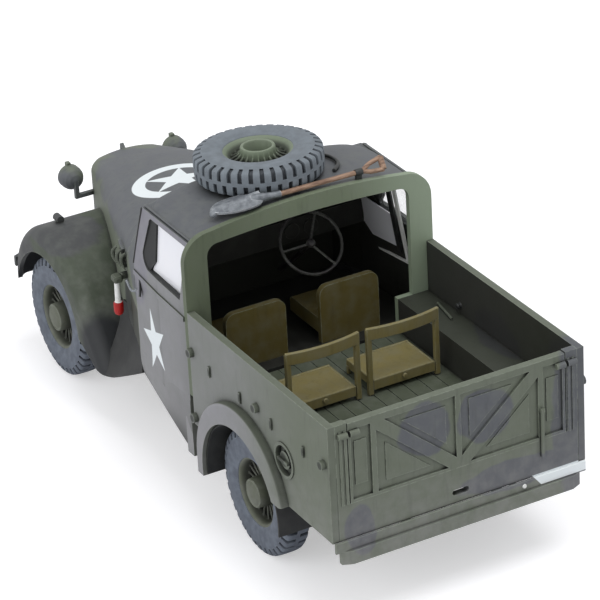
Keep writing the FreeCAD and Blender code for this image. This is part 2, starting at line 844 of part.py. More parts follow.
# Bed floor of planks
bed_floor = new_body("bed_floor")
floor_x = (bed_rear + s.bed_wall, bed_front)
pad(bed_floor, "above", rail_top, s.floor_top, rectangle(floor_x[0], floor_x[1], -bed_inner, bed_inner))
plank = bed_inner * 2 / PLANK_COUNT
groove_y = plank - bed_inner
groove = pocket(bed_floor, "above", s.floor_top - s.plank_groove / 2, s.floor_top + s.overrun,
                rectangle(floor_x[0] - s.overrun, floor_x[1] + s.overrun, groove_y - s.plank_groove / 2,
                          groove_y + s.plank_groove / 2))
spread(bed_floor, groove, "Y_Axis", plank * (PLANK_COUNT - 2), PLANK_COUNT - 1)
node(bed_floor, "bed_floor")

# Rear sill: the plate around the tailgate, with its slot, ribs and catches
gate_hole = s.gate_half_width + s.gate_play
sill = new_body("rear_sill_plate")
sill_outline = [(-inner_side, s.bed_bottom), (inner_side, s.bed_bottom), (inner_side, s.bed_top), (gate_hole, s.bed_top)]
sill_outline += [(gate_hole, s.gate_bottom), (-gate_hole, s.gate_bottom), (-gate_hole, s.bed_top), (-inner_side, s.bed_top)]
pad(sill, "across", bed_rear, bed_rear + s.bed_wall, sill_outline)
slot_low = s.slot_height - s.slot_radius
slot_high = s.slot_height + s.slot_radius
slot = [(-s.slot_half_length, slot_low), (s.slot_half_length, slot_low, s.slot_radius * 1.001)]
slot += [(s.slot_half_length, slot_high), (-s.slot_half_length, slot_high, s.slot_radius * 1.001)]
pocket(sill, "across", bed_rear - s.overrun, bed_rear + s.bed_wall + s.overrun, slot)
sill_parts = [sill]
gate_top = s.bed_top - s.gate_drop
catch_z = gate_top - s.gate_rail - s.catch_radius
for side in (-1, 1):
    for step in (1, 3):
        y = side * (gate_hole + s.rib_height * step) - s.rib_height / 2
        sill_parts.append(block("end_rib", (bed_rear - s.panel_step, bed_rear + s.sink), (y, y + s.rib_height),
                                (s.gate_bottom, s.bed_top - s.gate_rail)))
    y = side * (gate_hole + s.catch_length / 2 + s.gate_play) - s.catch_length / 2
    sill_parts.append(round_bar("catch", "y", s.catch_radius, y, y + s.catch_length, (bed_rear - s.catch_radius / 2, catch_z)))
node(fused("rear_sill", sill_parts), "rear_sill")

# Tailgate: pressed panels between posts and diagonal ribs
gate = new_body("tailgate_plate")
pad(gate, "across", bed_rear, bed_rear + s.bed_wall,
    rectangle(-s.gate_half_width, s.gate_half_width, s.gate_bottom, gate_top))
field_low = s.gate_bottom + s.rib_width / 2
field_high = gate_top - s.gate_rail
post_half = s.rib_width / 2
slant = s.rib_width * 1.5
step_share = 0.62


def inset_panel(corners, share):
    """The same outline drawn in towards its middle."""
    count = len(corners)
    middle_a = sum((corner[0] for corner in corners[1:]), corners[0][0]) / count
    middle_b = sum((corner[1] for corner in corners[1:]), corners[0][1]) / count
    return [(middle_a + (a - middle_a) * share, middle_b + (b - middle_b) * share) for a, b in corners]


upper_field = [(post_half, field_low + slant), (s.gate_post - post_half - slant, field_high), (post_half, field_high)]
lower_field = [(post_half + slant, field_low), (s.gate_post - post_half, field_low), (s.gate_post - post_half, field_high - slant)]
end_field = rectangle(s.gate_post + post_half, s.gate_half_width - post_half, field_low, field_high)
for field in (upper_field, lower_field, end_field):
    for side in (-1, 1):
        corners = [(side * a, b) for a, b in field]
        if side < 0:
            corners.reverse()
        pocket(gate, "across", bed_rear - s.overrun, bed_rear + s.rib_height, corners)
        pad(gate, "across", bed_rear + s.rib_height - s.panel_step, bed_rear + s.rib_height + s.sink,
            inset_panel(corners, step_share))
gate_parts = [gate]
for side in (-1, 1):
    y = side * (s.gate_half_width - s.catch_length / 2 - s.gate_play) - s.catch_length / 2
    gate_parts.append(round_bar("gate_catch", "y", s.catch_radius, y, y + s.catch_length, (bed_rear - s.catch_radius / 2, catch_z)))
chain_x = bed_rear - s.chain_radius
gate_parts.append(round_bar("chain", "z", s.chain_radius, s.chain_foot, s.chain_foot + s.chain_length, (chain_x, -s.gate_post)))
hanger_low = s.chain_foot + s.chain_length
gate_parts.append(block("chain_hanger", (chain_x - s.chain_radius, bed_rear + s.sink),
                        (-s.gate_post - s.chain_radius, -s.gate_post + s.chain_radius),
                        (hanger_low - s.chain_radius, hanger_low + s.chain_radius)))
node(fused("tailgate", gate_parts), "tailgate")

# Rear bumper with swept ends, on two irons
bar_low = s.rear_bumper_middle - s.rear_bumper_height / 2
bar_high = s.rear_bumper_middle + s.rear_bumper_height / 2
bar_rear = bed_rear - rear_reach
bar_face = bed_rear - s.rear_bumper_gap
rear_bar = new_body("rear_bumper_bar")
bar_plan = [(bar_rear, inner_side - s.bumper_chamfer), (bar_rear, s.bumper_chamfer - inner_side)]
bar_plan += [(bar_rear + s.bumper_depth, -inner_side), (bar_face + s.bumper_depth, -inner_side)]
bar_plan += [(bar_face, s.bumper_chamfer - inner_side), (bar_face, inner_side - s.bumper_chamfer)]
bar_plan += [(bar_face + s.bumper_depth, inner_side), (bar_rear + s.bumper_depth, inner_side)]
pad(rear_bar, "above", bar_low, bar_high, bar_plan)
half_iron = s.bumper_iron / 2
iron_y = s.rail_offset + s.rail_width / 2
rear_irons = [rear_bar]
for side in (-1, 1):
    across = (side * iron_y - half_iron, side * iron_y + half_iron)
    rear_irons.append(block("rear_iron", (bar_face - s.sink, rail_rear), across, (bar_low, bar_high)))
    rear_irons.append(block("rear_iron_foot", (rail_rear - s.sink, rail_rear + s.bumper_iron), across, (bar_low, rail_foot)))
node(fused("rear_bumper", rear_irons), "rear_bumper")


# Rear mudguards stand out from the bed's sides over the wheels
def guard_outline(inset):
    """A round crown that ends at the sill behind and in a straight leg ahead of the wheel."""
    radius = s.rear_guard_radius - inset
    centre_z = hub_height + s.rear_guard_lift
    rise = s.bed_bottom - centre_z
    heel = rear_axle_x - root(radius * radius - rise * rise)
    front = rear_axle_x + radius
    corners = [(heel, s.bed_bottom), (rear_axle_x, s.bed_bottom), (rear_axle_x, s.rear_guard_foot)]
    return corners + [(front, s.rear_guard_foot), (front, centre_z, radius)]


rear_guard = new_body("rear_mudguard_left")
guard_face = half_body + s.rear_guard_reach
pad(rear_guard, "side", half_body, guard_face, guard_outline(0))
rounded(rear_guard, s.rear_guard_round, lambda edge: abs(edge.BoundBox.YMin - guard_face) < s.fit_gap
        and edge.BoundBox.ZMax > hub_height + s.rear_guard_radius)
hollow = [(a, b) if not extra else (a, b, extra[0]) for a, b, *extra in guard_outline(s.panel)]
lowered = [(corner[0], corner[1] - s.panel, *corner[2:]) if corner[1] < hub_height else corner for corner in hollow]
pocket(rear_guard, "side", half_body - s.overrun, guard_face - s.panel, lowered)
bore(rear_guard, "side", half_body - s.overrun, guard_face + s.overrun, (rear_axle_x, hub_height), arch_radius)
pair(rear_guard, "rear_mudguard")


# Cab hoop: the flat rounded frame behind the seats
def arched(half, top, crown, corner, foot):
    """Upright sides, round corners and a lightly arched top, from the foot up."""
    side_top = top - crown
    crown_half = half - corner
    crown_radius = arc_radius(crown_half, crown)
    corners = [(-half, foot), (half, foot), (half, side_top - corner, corner), (crown_half, side_top, crown_radius)]
    return corners + [(-crown_half, side_top, corner), (-half, side_top - corner)]


hoop = new_body("cab_hoop")
hoop_inner = half_body - s.hoop_side
pad(hoop, "across", bed_front, cab_rear, arched(half_body, s.hoop_top, s.hoop_crown, s.hoop_corner, s.floor_top))
pocket(hoop, "across", bed_front - s.overrun, cab_rear + s.overrun,
       arched(hoop_inner, s.hoop_top - s.hoop_bar, s.hoop_crown / 2, s.hoop_inner_corner, s.shelf_top))
pocket(hoop, "across", bed_front - s.overrun, cab_rear + s.overrun,
       rectangle(-bed_inner, bed_inner, s.floor_top - s.overrun, s.shelf_top + s.sink))
node(hoop, "cab_hoop")

# Doors: one bowed skin from sill to roof, trimmed to the door's outline
door_middle = (cab_rear + cab_front) / 2
door_stations = [(cab_rear, half_body, s.door_foot_rear)]
door_stations.append((door_middle, half_body - s.door_ease, (s.door_foot_rear + s.door_foot_front) / 2))
door_stations.append((cab_front, s.scuttle_half_width, s.door_foot_front))


def door_section(half, foot):
    """The wall across the car: turned under at the sill, upright to the waist, then leaning in."""
    inner = half - s.door_wall
    fold = foot + s.door_turn_height
    corners = [(inner - s.door_turn, foot), (half - s.door_turn, foot, s.door_turn_radius), (half, fold), (half, s.waist)]
    corners += [(s.roof_half_width, s.roof_side), (s.roof_half_width - s.door_wall, s.roof_side), (inner, s.waist)]
    return corners + [(inner, fold, -s.door_turn_radius)]


skin = new_body("door_skin")
loft(skin, "AdditiveLoft", [(x, door_section(half, foot)) for x, half, foot in door_stations])
pillar_slope = s.pillar_lean / (s.roof_side - s.waist)
above_roof = s.roof_side + s.overrun
front_trim = [(cab_front, s.waist), (cab_front + s.overrun, s.waist), (cab_front + s.overrun, above_roof)]
front_trim.append((roof_front - s.overrun * pillar_slope, above_roof))
pocket(skin, "side", 0, half_body + s.overrun, front_trim)
window_low = s.waist + s.panel
window_high = s.roof_side - s.panel
window_rear = cab_rear + s.window_frame
window_front = cab_front - s.window_frame * 1.6 - (window_low + s.window_corner - s.waist) * pillar_slope
window_head = window_front - (window_high - window_low - s.window_corner) * pillar_slope
window = [(window_rear, window_low), (window_front - s.window_corner, window_low, s.window_corner * 1.2)]
window += [(window_front, window_low + s.window_corner), (window_head, window_high - s.panel, s.panel)]
window += [(window_head - s.panel, window_high), (window_rear, window_high)]
pocket(skin, "side", 0, half_body + s.overrun, window)

strip = new_body("waist_moulding")
strip_high = s.waist - s.moulding_drop


def strip_section(half):
    return rectangle(half - s.sink, half + s.moulding_height, strip_high - s.moulding_width, strip_high)


loft(strip, "AdditiveLoft", [(x, strip_section(half)) for x, half, foot in door_stations])
apron_front = cab_rear + s.apron_length
apron = block("apron", (cab_rear, apron_front), (door_inner - s.sink, half_body),
              (s.rear_guard_foot, s.door_foot_rear + s.door_turn_height))
handle_x = cab_front - s.window_frame
handle = slanted_bar("handle", (handle_x, s.scuttle_half_width, strip_high - s.moulding_width),
                     (handle_x - s.handle_length / 2, s.scuttle_half_width + s.handle_radius * 3,
                      strip_high - s.moulding_width - s.handle_length), s.handle_radius)
pair(fused("door_left", [skin, strip, apron, handle]), "door")


# Roof: a shell lofted from the hoop forward, with a gutter over each door
def roof_outline(half, top, low):
    shoulder_z = top - s.hoop_crown
    crown_half = s.roof_half_width - s.roof_shoulder
    crown_radius = arc_radius(crown_half, s.hoop_crown)
    shoulder = s.roof_shoulder_radius
    corners = [(-half, low), (half, low, shoulder), (crown_half, shoulder_z, crown_radius)]
    return corners + [(-crown_half, shoulder_z, shoulder)]


roof = new_body("roof_shell")
roof_ends = ((cab_rear, 0), (roof_front, s.roof_fall))
loft(roof, "AdditiveLoft", [(x, roof_outline(s.roof_half_width, s.hoop_top - fall, s.roof_side)) for x, fall in roof_ends])
under_half = s.roof_half_width - s.door_wall
under_ends = ((cab_rear - s.sink, 0), (roof_front + s.sink, s.roof_fall))
under = [(x, roof_outline(under_half, s.hoop_top - fall - s.roof_wall, s.roof_side - s.sink)) for x, fall in under_ends]
loft(roof, "SubtractiveLoft", under)
gutters = [roof]
for side in (-1, 1):
    across = sorted((side * (s.roof_half_width - s.sink), side * (s.roof_half_width + s.gutter / 2)))
    gutters.append(block("gutter", (cab_rear, roof_front), across, (s.roof_side, s.roof_side + s.gutter)))
node(fused("cab_roof", gutters), "cab_roof")


# Scuttle and bonnet narrow from the cab to the nose. One section describes both.
shoulder_share = 0.24
shoulder_drop_share = 1.235
crown_rise_share = 0.105
bonnet_falls = (0.55, 0.45)


def nose_share(x):
    return (x - cab_front) / (nose - cab_front)


def bonnet_half(x):
    return s.scuttle_half_width + (s.nose_half_width - s.scuttle_half_width) * nose_share(x)


def bonnet_top(x):
    share = nose_share(x)
    return s.scuttle_top - (s.scuttle_top - s.nose_top) * share * (share * bonnet_falls[1] + bonnet_falls[0])


def crowned(half, top, foot):
    """Upright flanks, round shoulders and a lightly arched top, across the car."""
    width = half * shoulder_share
    drop = width * shoulder_drop_share
    shoulder = arc_radius(drop, width)
    crown_half = half - width
    rise = crown_half * crown_rise_share
    side_top = top - rise
    corners = [(-half, foot), (half, foot), (half, side_top - drop, shoulder)]
    corners.append((crown_half, side_top, arc_radius(crown_half, rise)))
    return corners + [(-crown_half, side_top, shoulder), (-half, side_top - drop)]


def bonnet_line(low, high, grow, foot):
    """Sections at equal steps between two places, grown or drawn in all round."""
    places = [low + (high - low) * share for share in bonnet_steps]
    return [(x, crowned(bonnet_half(x) + grow, bonnet_top(x) + grow, foot)) for x in places]


bonnet_steps = (0.0, 0.25, 0.5, 0.75, 1.0)
bay_front = nose + s.grille_depth * 2
bay = new_body("engine_bay")
loft(bay, "AdditiveLoft", bonnet_line(cab_front, bay_front, 0, 0))

bonnet = new_body("bonnet_shell")
loft(bonnet, "AdditiveLoft", bonnet_line(bonnet_rear, nose, 0, s.bonnet_foot))
loft(bonnet, "SubtractiveLoft", bonnet_line(bonnet_rear - s.sink, nose + s.sink, -s.panel, s.bonnet_foot - s.overrun))
bonnet_parts = [bonnet]
louvre_low = s.bonnet_foot + s.louvre_rise
for number in range(LOUVRE_COUNT):
    z = louvre_low + s.louvre_pitch * number
    start = bonnet_rear + s.louvre_inset + s.louvre_pitch * number / 2
    for side in (-1, 1):
        blade = new_body("louvre")
        steps = []
        for x in (start, start + s.louvre_length):
            edge = side * bonnet_half(x)
            low, high = (edge - s.sink, edge + s.louvre_height) if side > 0 else (edge - s.louvre_height, edge + s.sink)
            steps.append((x, rectangle(low, high, z, z + s.louvre_height)))
        loft(blade, "AdditiveLoft", steps)
        bonnet_parts.append(blade)
node(fused("bonnet", bonnet_parts), "bonnet")

scuttle = new_body("scuttle_shell")
firewall_x = bonnet_rear - s.panel
loft(scuttle, "AdditiveLoft", bonnet_line(cab_front, bonnet_rear, 0, rail_top))
loft(scuttle, "SubtractiveLoft", bonnet_line(cab_front - s.sink, firewall_x, -s.panel, rail_top - s.overrun))
node(scuttle, "scuttle")

# Cab floor reaches under the scuttle
cab_floor = new_body("cab_floor")
floor_rear_half = door_inner - s.fit_gap
floor_front_half = s.scuttle_half_width - s.door_wall - s.fit_gap
toe_half = bonnet_half(firewall_x) - s.panel - s.fit_gap
floor_plan = [(cab_rear, floor_rear_half), (cab_rear, -floor_rear_half), (cab_front, -floor_front_half)]
floor_plan += [(firewall_x, -toe_half), (firewall_x, toe_half), (cab_front, floor_front_half)]
pad(cab_floor, "above", rail_top, s.floor_top, floor_plan)
node(cab_floor, "cab_floor")

# Radiator grille: a rounded nose with slots between its upright bars, and the filler cap's fin
grille = new_body("grille_shell")
grille_steps = ((0.0, 1.0, 0.0), (0.4, 0.9, 0.12), (0.75, 0.76, 0.4), (1.0, 0.6, 1.0))
grille_fall = s.grille_depth * 0.9


def grille_line(inset, start):
    sections = []
    for reach, width, fall in grille_steps:
        x = nose + (s.grille_depth - inset) * reach if reach else nose - start
        sections.append((x, crowned(s.nose_half_width * width - inset, s.nose_top - grille_fall * fall - inset,
                                    s.grille_foot + inset)))
    return sections


loft(grille, "AdditiveLoft", grille_line(0, 0))
loft(grille, "SubtractiveLoft", grille_line(s.grille_wall, s.sink))
slot_pitch = s.nose_half_width * 2 / (BAR_COUNT + 2)
slot_half = (slot_pitch - s.grille_bar) / 2
first_slot = -slot_pitch * (BAR_COUNT / 2)
grille_slot = pocket(grille, "across", nose + s.grille_wall, grille_front + s.overrun,
                     rectangle(first_slot - slot_half, first_slot + slot_half, s.grille_foot + s.grille_shell,
                               s.nose_top - grille_fall - s.grille_shell))
spread(grille, grille_slot, "Y_Axis", slot_pitch * BAR_COUNT, BAR_COUNT + 1)
fin = new_body("cap_fin")
fin_top = s.nose_top + s.cap_fin_height - grille_fall / 2
fin_foot = s.nose_top - s.grille_wall
fin_side = [(nose, fin_foot), (nose + s.cap_fin_length / 2, fin_foot), (nose + s.cap_fin_length / 2, fin_top)]
pad(fin, "side", -s.cap_fin_width / 2, s.cap_fin_width / 2, fin_side)
grille_node = fused("radiator_grille", [grille, fin])
node(grille_node, "radiator_grille")


# Front mudguards: a round crown that sweeps down behind the wheel
def crown_line(inset):
    """Seen from the side: a quarter circle to the nose, a wider arc to the rear, then straight down."""
    top = s.front_guard_height - inset
    nose_reach = s.front_guard_nose - inset
    tail_reach = inset - s.front_guard_tail
    radius = top - hub_height
    drop = s.front_guard_foot - hub_height
    square = tail_reach * tail_reach + drop * drop
    swing = radius * root(square - radius * radius) / square
    pull = radius * radius / square
    leave = (front_axle_x + tail_reach * pull + drop * swing, hub_height + drop * pull - tail_reach * swing)
    corners = [(front_axle_x + tail_reach, s.front_guard_foot), (front_axle_x + nose_reach, s.front_guard_foot)]
    corners.append((front_axle_x + nose_reach, top - nose_reach, nose_reach))
    return corners + [(front_axle_x, top, radius), leave]


def crown_block(name, inset):
    face = s.front_guard_half_width - inset
    made = new_body(name)
    pad(made, "side", s.front_guard_inner, face, crown_line(inset))
    rounded(made, s.front_guard_round - inset, lambda edge: abs(edge.BoundBox.YMin - face) < s.fit_gap / 10
            and edge.BoundBox.ZMax > s.front_guard_foot + s.panel)
    return made


wheel_room = new_body("front_wheel_room")
room_front = front_axle_x + s.front_guard_nose + s.overrun
pad(wheel_room, "side", 0, half_body + s.overrun, rectangle(front_axle_x, room_front, 0, s.front_guard_tip))
wide_bay = new_body("wide_engine_bay")
loft(wide_bay, "AdditiveLoft", bonnet_line(cab_front, bay_front, s.panel, 0))
hollow_crown = cut("front_guard_hollow", crown_block("front_guard_inside", s.panel), wide_bay)
front_arch = round_bar("front_arch", "y", arch_radius, s.wheel_offset, s.body_width, (front_axle_x, hub_height))
tail_room = new_body("front_tail_room")
tail_line = [(front_axle_x + s.panel * 3 - s.front_guard_tail, s.front_guard_foot - s.panel)]
tail_line += [(front_axle_x, s.front_guard_foot - s.panel), (front_axle_x, hub_height + s.arch_gap)]
tail_line.append((front_axle_x - arch_radius, hub_height + s.arch_gap))
pad(tail_room, "side", s.wheel_offset, s.body_width, tail_line)
rail_clear = s.wheel_offset - half_tyre - s.panel
rail_room = block("front_rail_room", (bonnet_rear, bumper_front), (0, rail_clear), (0, rail_top))
cleared = fused("front_guard_room", [hollow_crown, front_arch, tail_room, wheel_room, rail_room, bay, grille_node])
plain_guard = cut("front_guard_shell", crown_block("front_guard_block", 0), cleared)
side_lamp_x = front_axle_x + s.side_lamp_place
side_lamp_z = s.front_guard_height + s.side_lamp_radius / 2
side_lamp_reach = s.side_lamp_length / 2
side_lamp = round_bar("side_lamp", "x", s.side_lamp_radius, side_lamp_x - side_lamp_reach,
                      side_lamp_x + side_lamp_reach, (s.side_lamp_offset, side_lamp_z))
side_lamp_foot = block("side_lamp_foot", (side_lamp_x - side_lamp_reach / 2, side_lamp_x + side_lamp_reach / 2),
                       (s.side_lamp_offset - s.side_lamp_radius / 2, s.side_lamp_offset + s.side_lamp_radius / 2),
                       (s.front_guard_height - s.panel, side_lamp_z))
pair(fused("front_mudguard_left", [plain_guard, side_lamp, side_lamp_foot]), "front_mudguard")

# Front bumper with swept ends, on two irons
bumper_back = bumper_front - s.bumper_depth
bumper_low = s.bumper_middle - s.bumper_height / 2
bumper_high = s.bumper_middle + s.bumper_height / 2
front_bar = new_body("front_bumper_bar")
straight_half = s.bumper_half_width - s.bumper_chamfer
front_plan = [(bumper_front, -straight_half), (bumper_front, straight_half), (bumper_back, s.bumper_half_width)]
front_plan += [(bumper_back - s.bumper_depth, s.bumper_half_width), (bumper_back, straight_half)]
front_plan += [(bumper_back, -straight_half), (bumper_back - s.bumper_depth, -s.bumper_half_width)]
front_plan.append((bumper_back, -s.bumper_half_width))
pad(front_bar, "above", bumper_low, bumper_high, front_plan)
front_irons = [front_bar]
for side in (-1, 1):
    across = (side * iron_y - half_iron, side * iron_y + half_iron)
    front_irons.append(block("front_iron", (rail_front - s.bumper_iron, bumper_back + s.sink), across,
                             (bumper_high - s.bumper_iron, bumper_high)))
    front_irons.append(block("front_iron_foot", (rail_front - s.bumper_iron, rail_front), across,
                             (bumper_high - s.bumper_iron, rail_foot)))
node(fused("front_bumper", front_irons), "front_bumper")


# Windscreen: a leaning frame between the door pillars, and its pane
def leaning(front_inset, back_inset, low, high):
    """A slab seen from the side that leans back with the pillars."""
    def face(z, inset):
        return cab_front - (z - s.waist) * pillar_slope - inset

    corners = [(face(low, back_inset), low), (face(low, front_inset), low)]
    return corners + [(face(high, front_inset), high), (face(high, back_inset), high)]


slab = new_body("windscreen_slab")
pad(slab, "side", -half_body, half_body, leaning(0, s.frame_bar, s.waist, s.hoop_top))
room = new_body("windscreen_room")
foot_half = s.scuttle_half_width - s.door_wall - s.fit_gap
head_half = under_half - s.fit_gap
head = roof_outline(head_half, s.hoop_top - s.roof_fall - s.roof_wall - s.fit_gap / 2, s.roof_side)
room_line = [(-foot_half, s.waist), (foot_half, s.waist)] + head[1:] + [(-head_half, s.roof_side)]
pad(room, "across", cab_rear, cab_front, room_line)
pane_low = s.scuttle_top + s.panel / 2
pane_high = s.roof_side - s.panel / 2
pane_half = head_half - s.window_frame
light = block("windscreen_light", (cab_rear, cab_front), (-pane_half, pane_half), (pane_low, pane_high))
screen = cut("windscreen_frame", common("windscreen_solid", [slab, room]), fused("windscreen_room_cut", [light, roof]))
node(screen, "windscreen_frame")
pane_inset = (s.frame_bar - s.glass) / 2
pane = new_body("windscreen_glass")
pad(pane, "side", -pane_half, pane_half, leaning(pane_inset, pane_inset + s.glass, pane_low, pane_high))
node(pane, "windscreen_glass")

# Dashboard with two round dials, steering wheel and column
dash_rear = cab_front - s.dash_depth
dash = [block("dash_panel", (dash_rear, cab_front), (-foot_half, foot_half), (s.waist - s.dash_height, s.waist))]
for step in (-1, 1):
    y = s.dial_pitch * step / 2 - s.steering_offset
    dash.append(round_bar("dial", "x", s.dial_radius, dash_rear - s.dial_rim, dash_rear + s.sink, (y, s.waist - s.dash_height / 2)))
node(fused("dashboard", dash), "dashboard")

steering_x = cab_front - s.steering_gap
column_way = (firewall_x - steering_x, s.column_foot - s.steering_height)
column_length = root(column_way[0] * column_way[0] + column_way[1] * column_way[1])
steering = new_body("steering_form")
wire = s.steering_wire
rings = [(-wire, s.steering_radius + wire / 2), (-wire / 2, s.steering_radius + wire)]
rings += [(wire / 2, s.steering_radius + wire), (wire, s.steering_radius + wire / 2)]
loft(steering, "AdditiveLoft", [(z, flats(radius, RIB_COUNT)) for z, radius in rings], "above")
pocket(steering, "above", -wire - s.overrun, wire + s.overrun, flats(s.steering_radius - wire, RIB_COUNT))
steering_parts = [steering]
spoke_round = wire * 0.7
steering_parts.append(round_bar("steering_column", "z", wire, -wire, column_length, (0, 0)))
steering_parts.append(round_bar("steering_hub", "z", s.steering_hub, -wire, wire, (0, 0)))
for number in range(SPOKE_COUNT):
    turn = 2 * math.pi * number / SPOKE_COUNT
    end = (s.steering_radius * math.cos(turn), s.steering_radius * math.sin(turn), Size(0, "0"))
    steering_parts.append(slanted_bar("steering_spoke", (Size(0, "0"), Size(0, "0"), Size(0, "0")), end, spoke_round))
steering_form = fused("steering_whole", steering_parts)
lean = FreeCAD.Rotation(ALONG_Z, V(column_way[0], 0, column_way[1]))
steering_placed = placed("steering_placed", steering_form, steering_x, -s.steering_offset, s.steering_height, lean)
beyond = block("beyond_firewall", (firewall_x, nose), (-half_body, half_body), (0, s.waist))
node(cut("steering_wheel", steering_placed, beyond), "steering_wheel")

# Front seats: a round-cornered back, a cushion and its box
seat_rear = cab_rear + s.seat_gap
back_front = seat_rear + s.seat_back_thickness
cushion_front = back_front + s.seat_cushion_length
cushion_low = s.floor_top + s.seat_round
seat_back = new_body("seat_back")
round_low = s.seat_back_height - s.seat_round
back_line = [(s.seat_inner, s.floor_top), (s.seat_outer, s.floor_top), (s.seat_outer, round_low, s.seat_round)]
back_line += [(s.seat_outer - s.seat_round, s.seat_back_height), (s.seat_inner + s.seat_round, s.seat_back_height, s.seat_round)]
back_line.append((s.seat_inner, round_low))
pad(seat_back, "across", seat_rear, back_front, back_line)
cushion = new_body("seat_cushion")
cushion_line = [(back_front - s.sink, cushion_low), (cushion_front, cushion_low)]
cushion_line += [(cushion_front, s.seat_cushion_top - s.seat_round / 2, s.seat_round / 2)]
cushion_line += [(cushion_front - s.seat_round / 2, s.seat_cushion_top), (back_front - s.sink, s.seat_cushion_top)]
pad(cushion, "side", s.seat_inner, s.seat_outer, cushion_line)
seat_box = block("seat_box", (back_front - s.sink, cushion_front - s.seat_round),
                 (s.seat_inner + s.seat_round, s.seat_outer - s.seat_round), (s.floor_top, cushion_low + s.sink))
passenger = fused("seat_passenger", [seat_back, cushion, seat_box])
node(passenger, "seat_passenger")
node(mirrored("seat_driver", passenger), "seat_driver")

# Folding rear seats: a bowed back rail on posts, and a pan on legs
bench_x = bed_front - s.bench_gap
rail_low = s.bench_rail_top - s.bench_rail_height
bow = arc_radius((s.bench_outer - s.bench_inner) / 2, s.bench_bow)
bench_rail = new_body("bench_rail")
rail_line = [(bench_x, s.bench_inner), (bench_x + s.bench_rail_thickness, s.bench_inner, -bow)]
rail_line += [(bench_x + s.bench_rail_thickness, s.bench_outer), (bench_x, s.bench_outer, bow)]
pad(bench_rail, "above", rail_low, s.bench_rail_top, rail_line)
bench_parts = [bench_rail]
pan_rear = bench_x + s.bench_post * 2
pan_front = pan_rear + s.pan_length
pan_low = s.pan_top - s.pan_thickness
pan_inner = s.bench_inner + s.pan_side_inset
pan_outer = s.bench_outer - s.pan_side_inset
pan = new_body("seat_pan")
turn_in = s.pan_round * 2
pan_line = [(pan_rear, pan_inner), (pan_front - turn_in, pan_inner, turn_in), (pan_front, pan_inner + turn_in)]
pan_line += [(pan_front, pan_outer - turn_in, turn_in), (pan_front - turn_in, pan_outer), (pan_rear, pan_outer)]
pad(pan, "above", pan_low, s.pan_top, pan_line)
rounded(pan, s.pan_round, lambda edge: edge.BoundBox.ZMin > s.pan_top - s.fit_gap and edge.BoundBox.XMax > pan_rear + s.fit_gap)
bench_parts.append(pan)
post_top = s.bench_rail_top - s.bench_rail_height / 4
for y in (s.bench_inner, s.bench_outer - s.bench_post):
    bench_parts.append(block("bench_post", (bench_x, bench_x + s.bench_post), (y, y + s.bench_post), (s.floor_top, post_top)))
for y in (pan_inner + s.bench_post, pan_outer - s.bench_post * 2):
    bench_parts.append(block("pan_leg", (bench_x, pan_front - s.bench_post), (y, y + s.bench_post), (s.floor_top, pan_low + s.sink)))
for y in (s.bench_inner, pan_outer - s.bench_post):
    stay = (bench_x, bench_x + s.bench_post)
    bench_parts.append(block("pan_stay", stay, (y, y + s.pan_side_inset + s.bench_post), (s.floor_top, s.floor_top + s.bench_post)))
knob_y = (s.bench_inner + s.bench_outer) / 2
knob_z = s.pan_top - s.pan_thickness / 2
bench_parts.append(round_bar("pan_knob", "x", s.bench_post / 2, pan_rear - s.bench_post / 2, pan_rear + s.sink, (knob_y, knob_z)))
pair(fused("rear_seat_left", bench_parts), "rear_seat")

# Headlamps: a turned shell under a small visor, on a bent arm from the nose
lamp = new_body("lamp_form")
dome_shares = ((0.12, -1.0), (0.5, -0.866), (0.8, -0.6), (0.96, -0.28), (1.0, 0.0), (1.0, 0.45))
lamp_line = [(Size(0, "0"), -s.lamp_radius)]
lamp_line += [(s.lamp_radius * size, s.lamp_radius * place) for size, place in dome_shares]
glass_radius = s.lamp_radius - s.grille_bar
lamp_line += [(glass_radius, s.lamp_radius * dome_shares[-1][1]), (glass_radius, s.lamp_radius * 0.3), (Size(0, "0"), s.lamp_radius * 0.45)]
turned(lamp, lamp_line)
lamp_x = nose + s.lamp_radius / 2
facing = FreeCAD.Rotation(ALONG_Z, -90)
lamp_head = placed("lamp_head", lamp, lamp_x, s.lamp_offset, s.lamp_height, facing)
half_arm = s.lamp_arm / 2
arm_x = (nose - s.lamp_arm - half_arm, nose - s.lamp_arm + half_arm)
arm_across = block("lamp_arm_across", arm_x, (s.nose_half_width / 2, s.lamp_offset + half_arm),
                   (s.lamp_arm_height - half_arm, s.lamp_arm_height + half_arm))
arm_upright = block("lamp_arm_upright", arm_x, (s.lamp_offset - half_arm, s.lamp_offset + half_arm),
                    (s.lamp_arm_height, s.lamp_height))
arm = cut("lamp_arm", fused("lamp_arm_whole", [arm_across, arm_upright]), bay)
visor_top = s.lamp_height + s.lamp_radius + s.grille_bar
visor = block("lamp_visor_block", (lamp_x + s.lamp_radius / 4, lamp_x + s.lamp_radius / 4 + s.lamp_visor),
              (s.lamp_offset - half_arm, s.lamp_offset + half_arm), (s.lamp_height + s.lamp_radius / 2, visor_top))
pair(fused("headlamp_left", [lamp_head, arm, visor]), "headlamp")

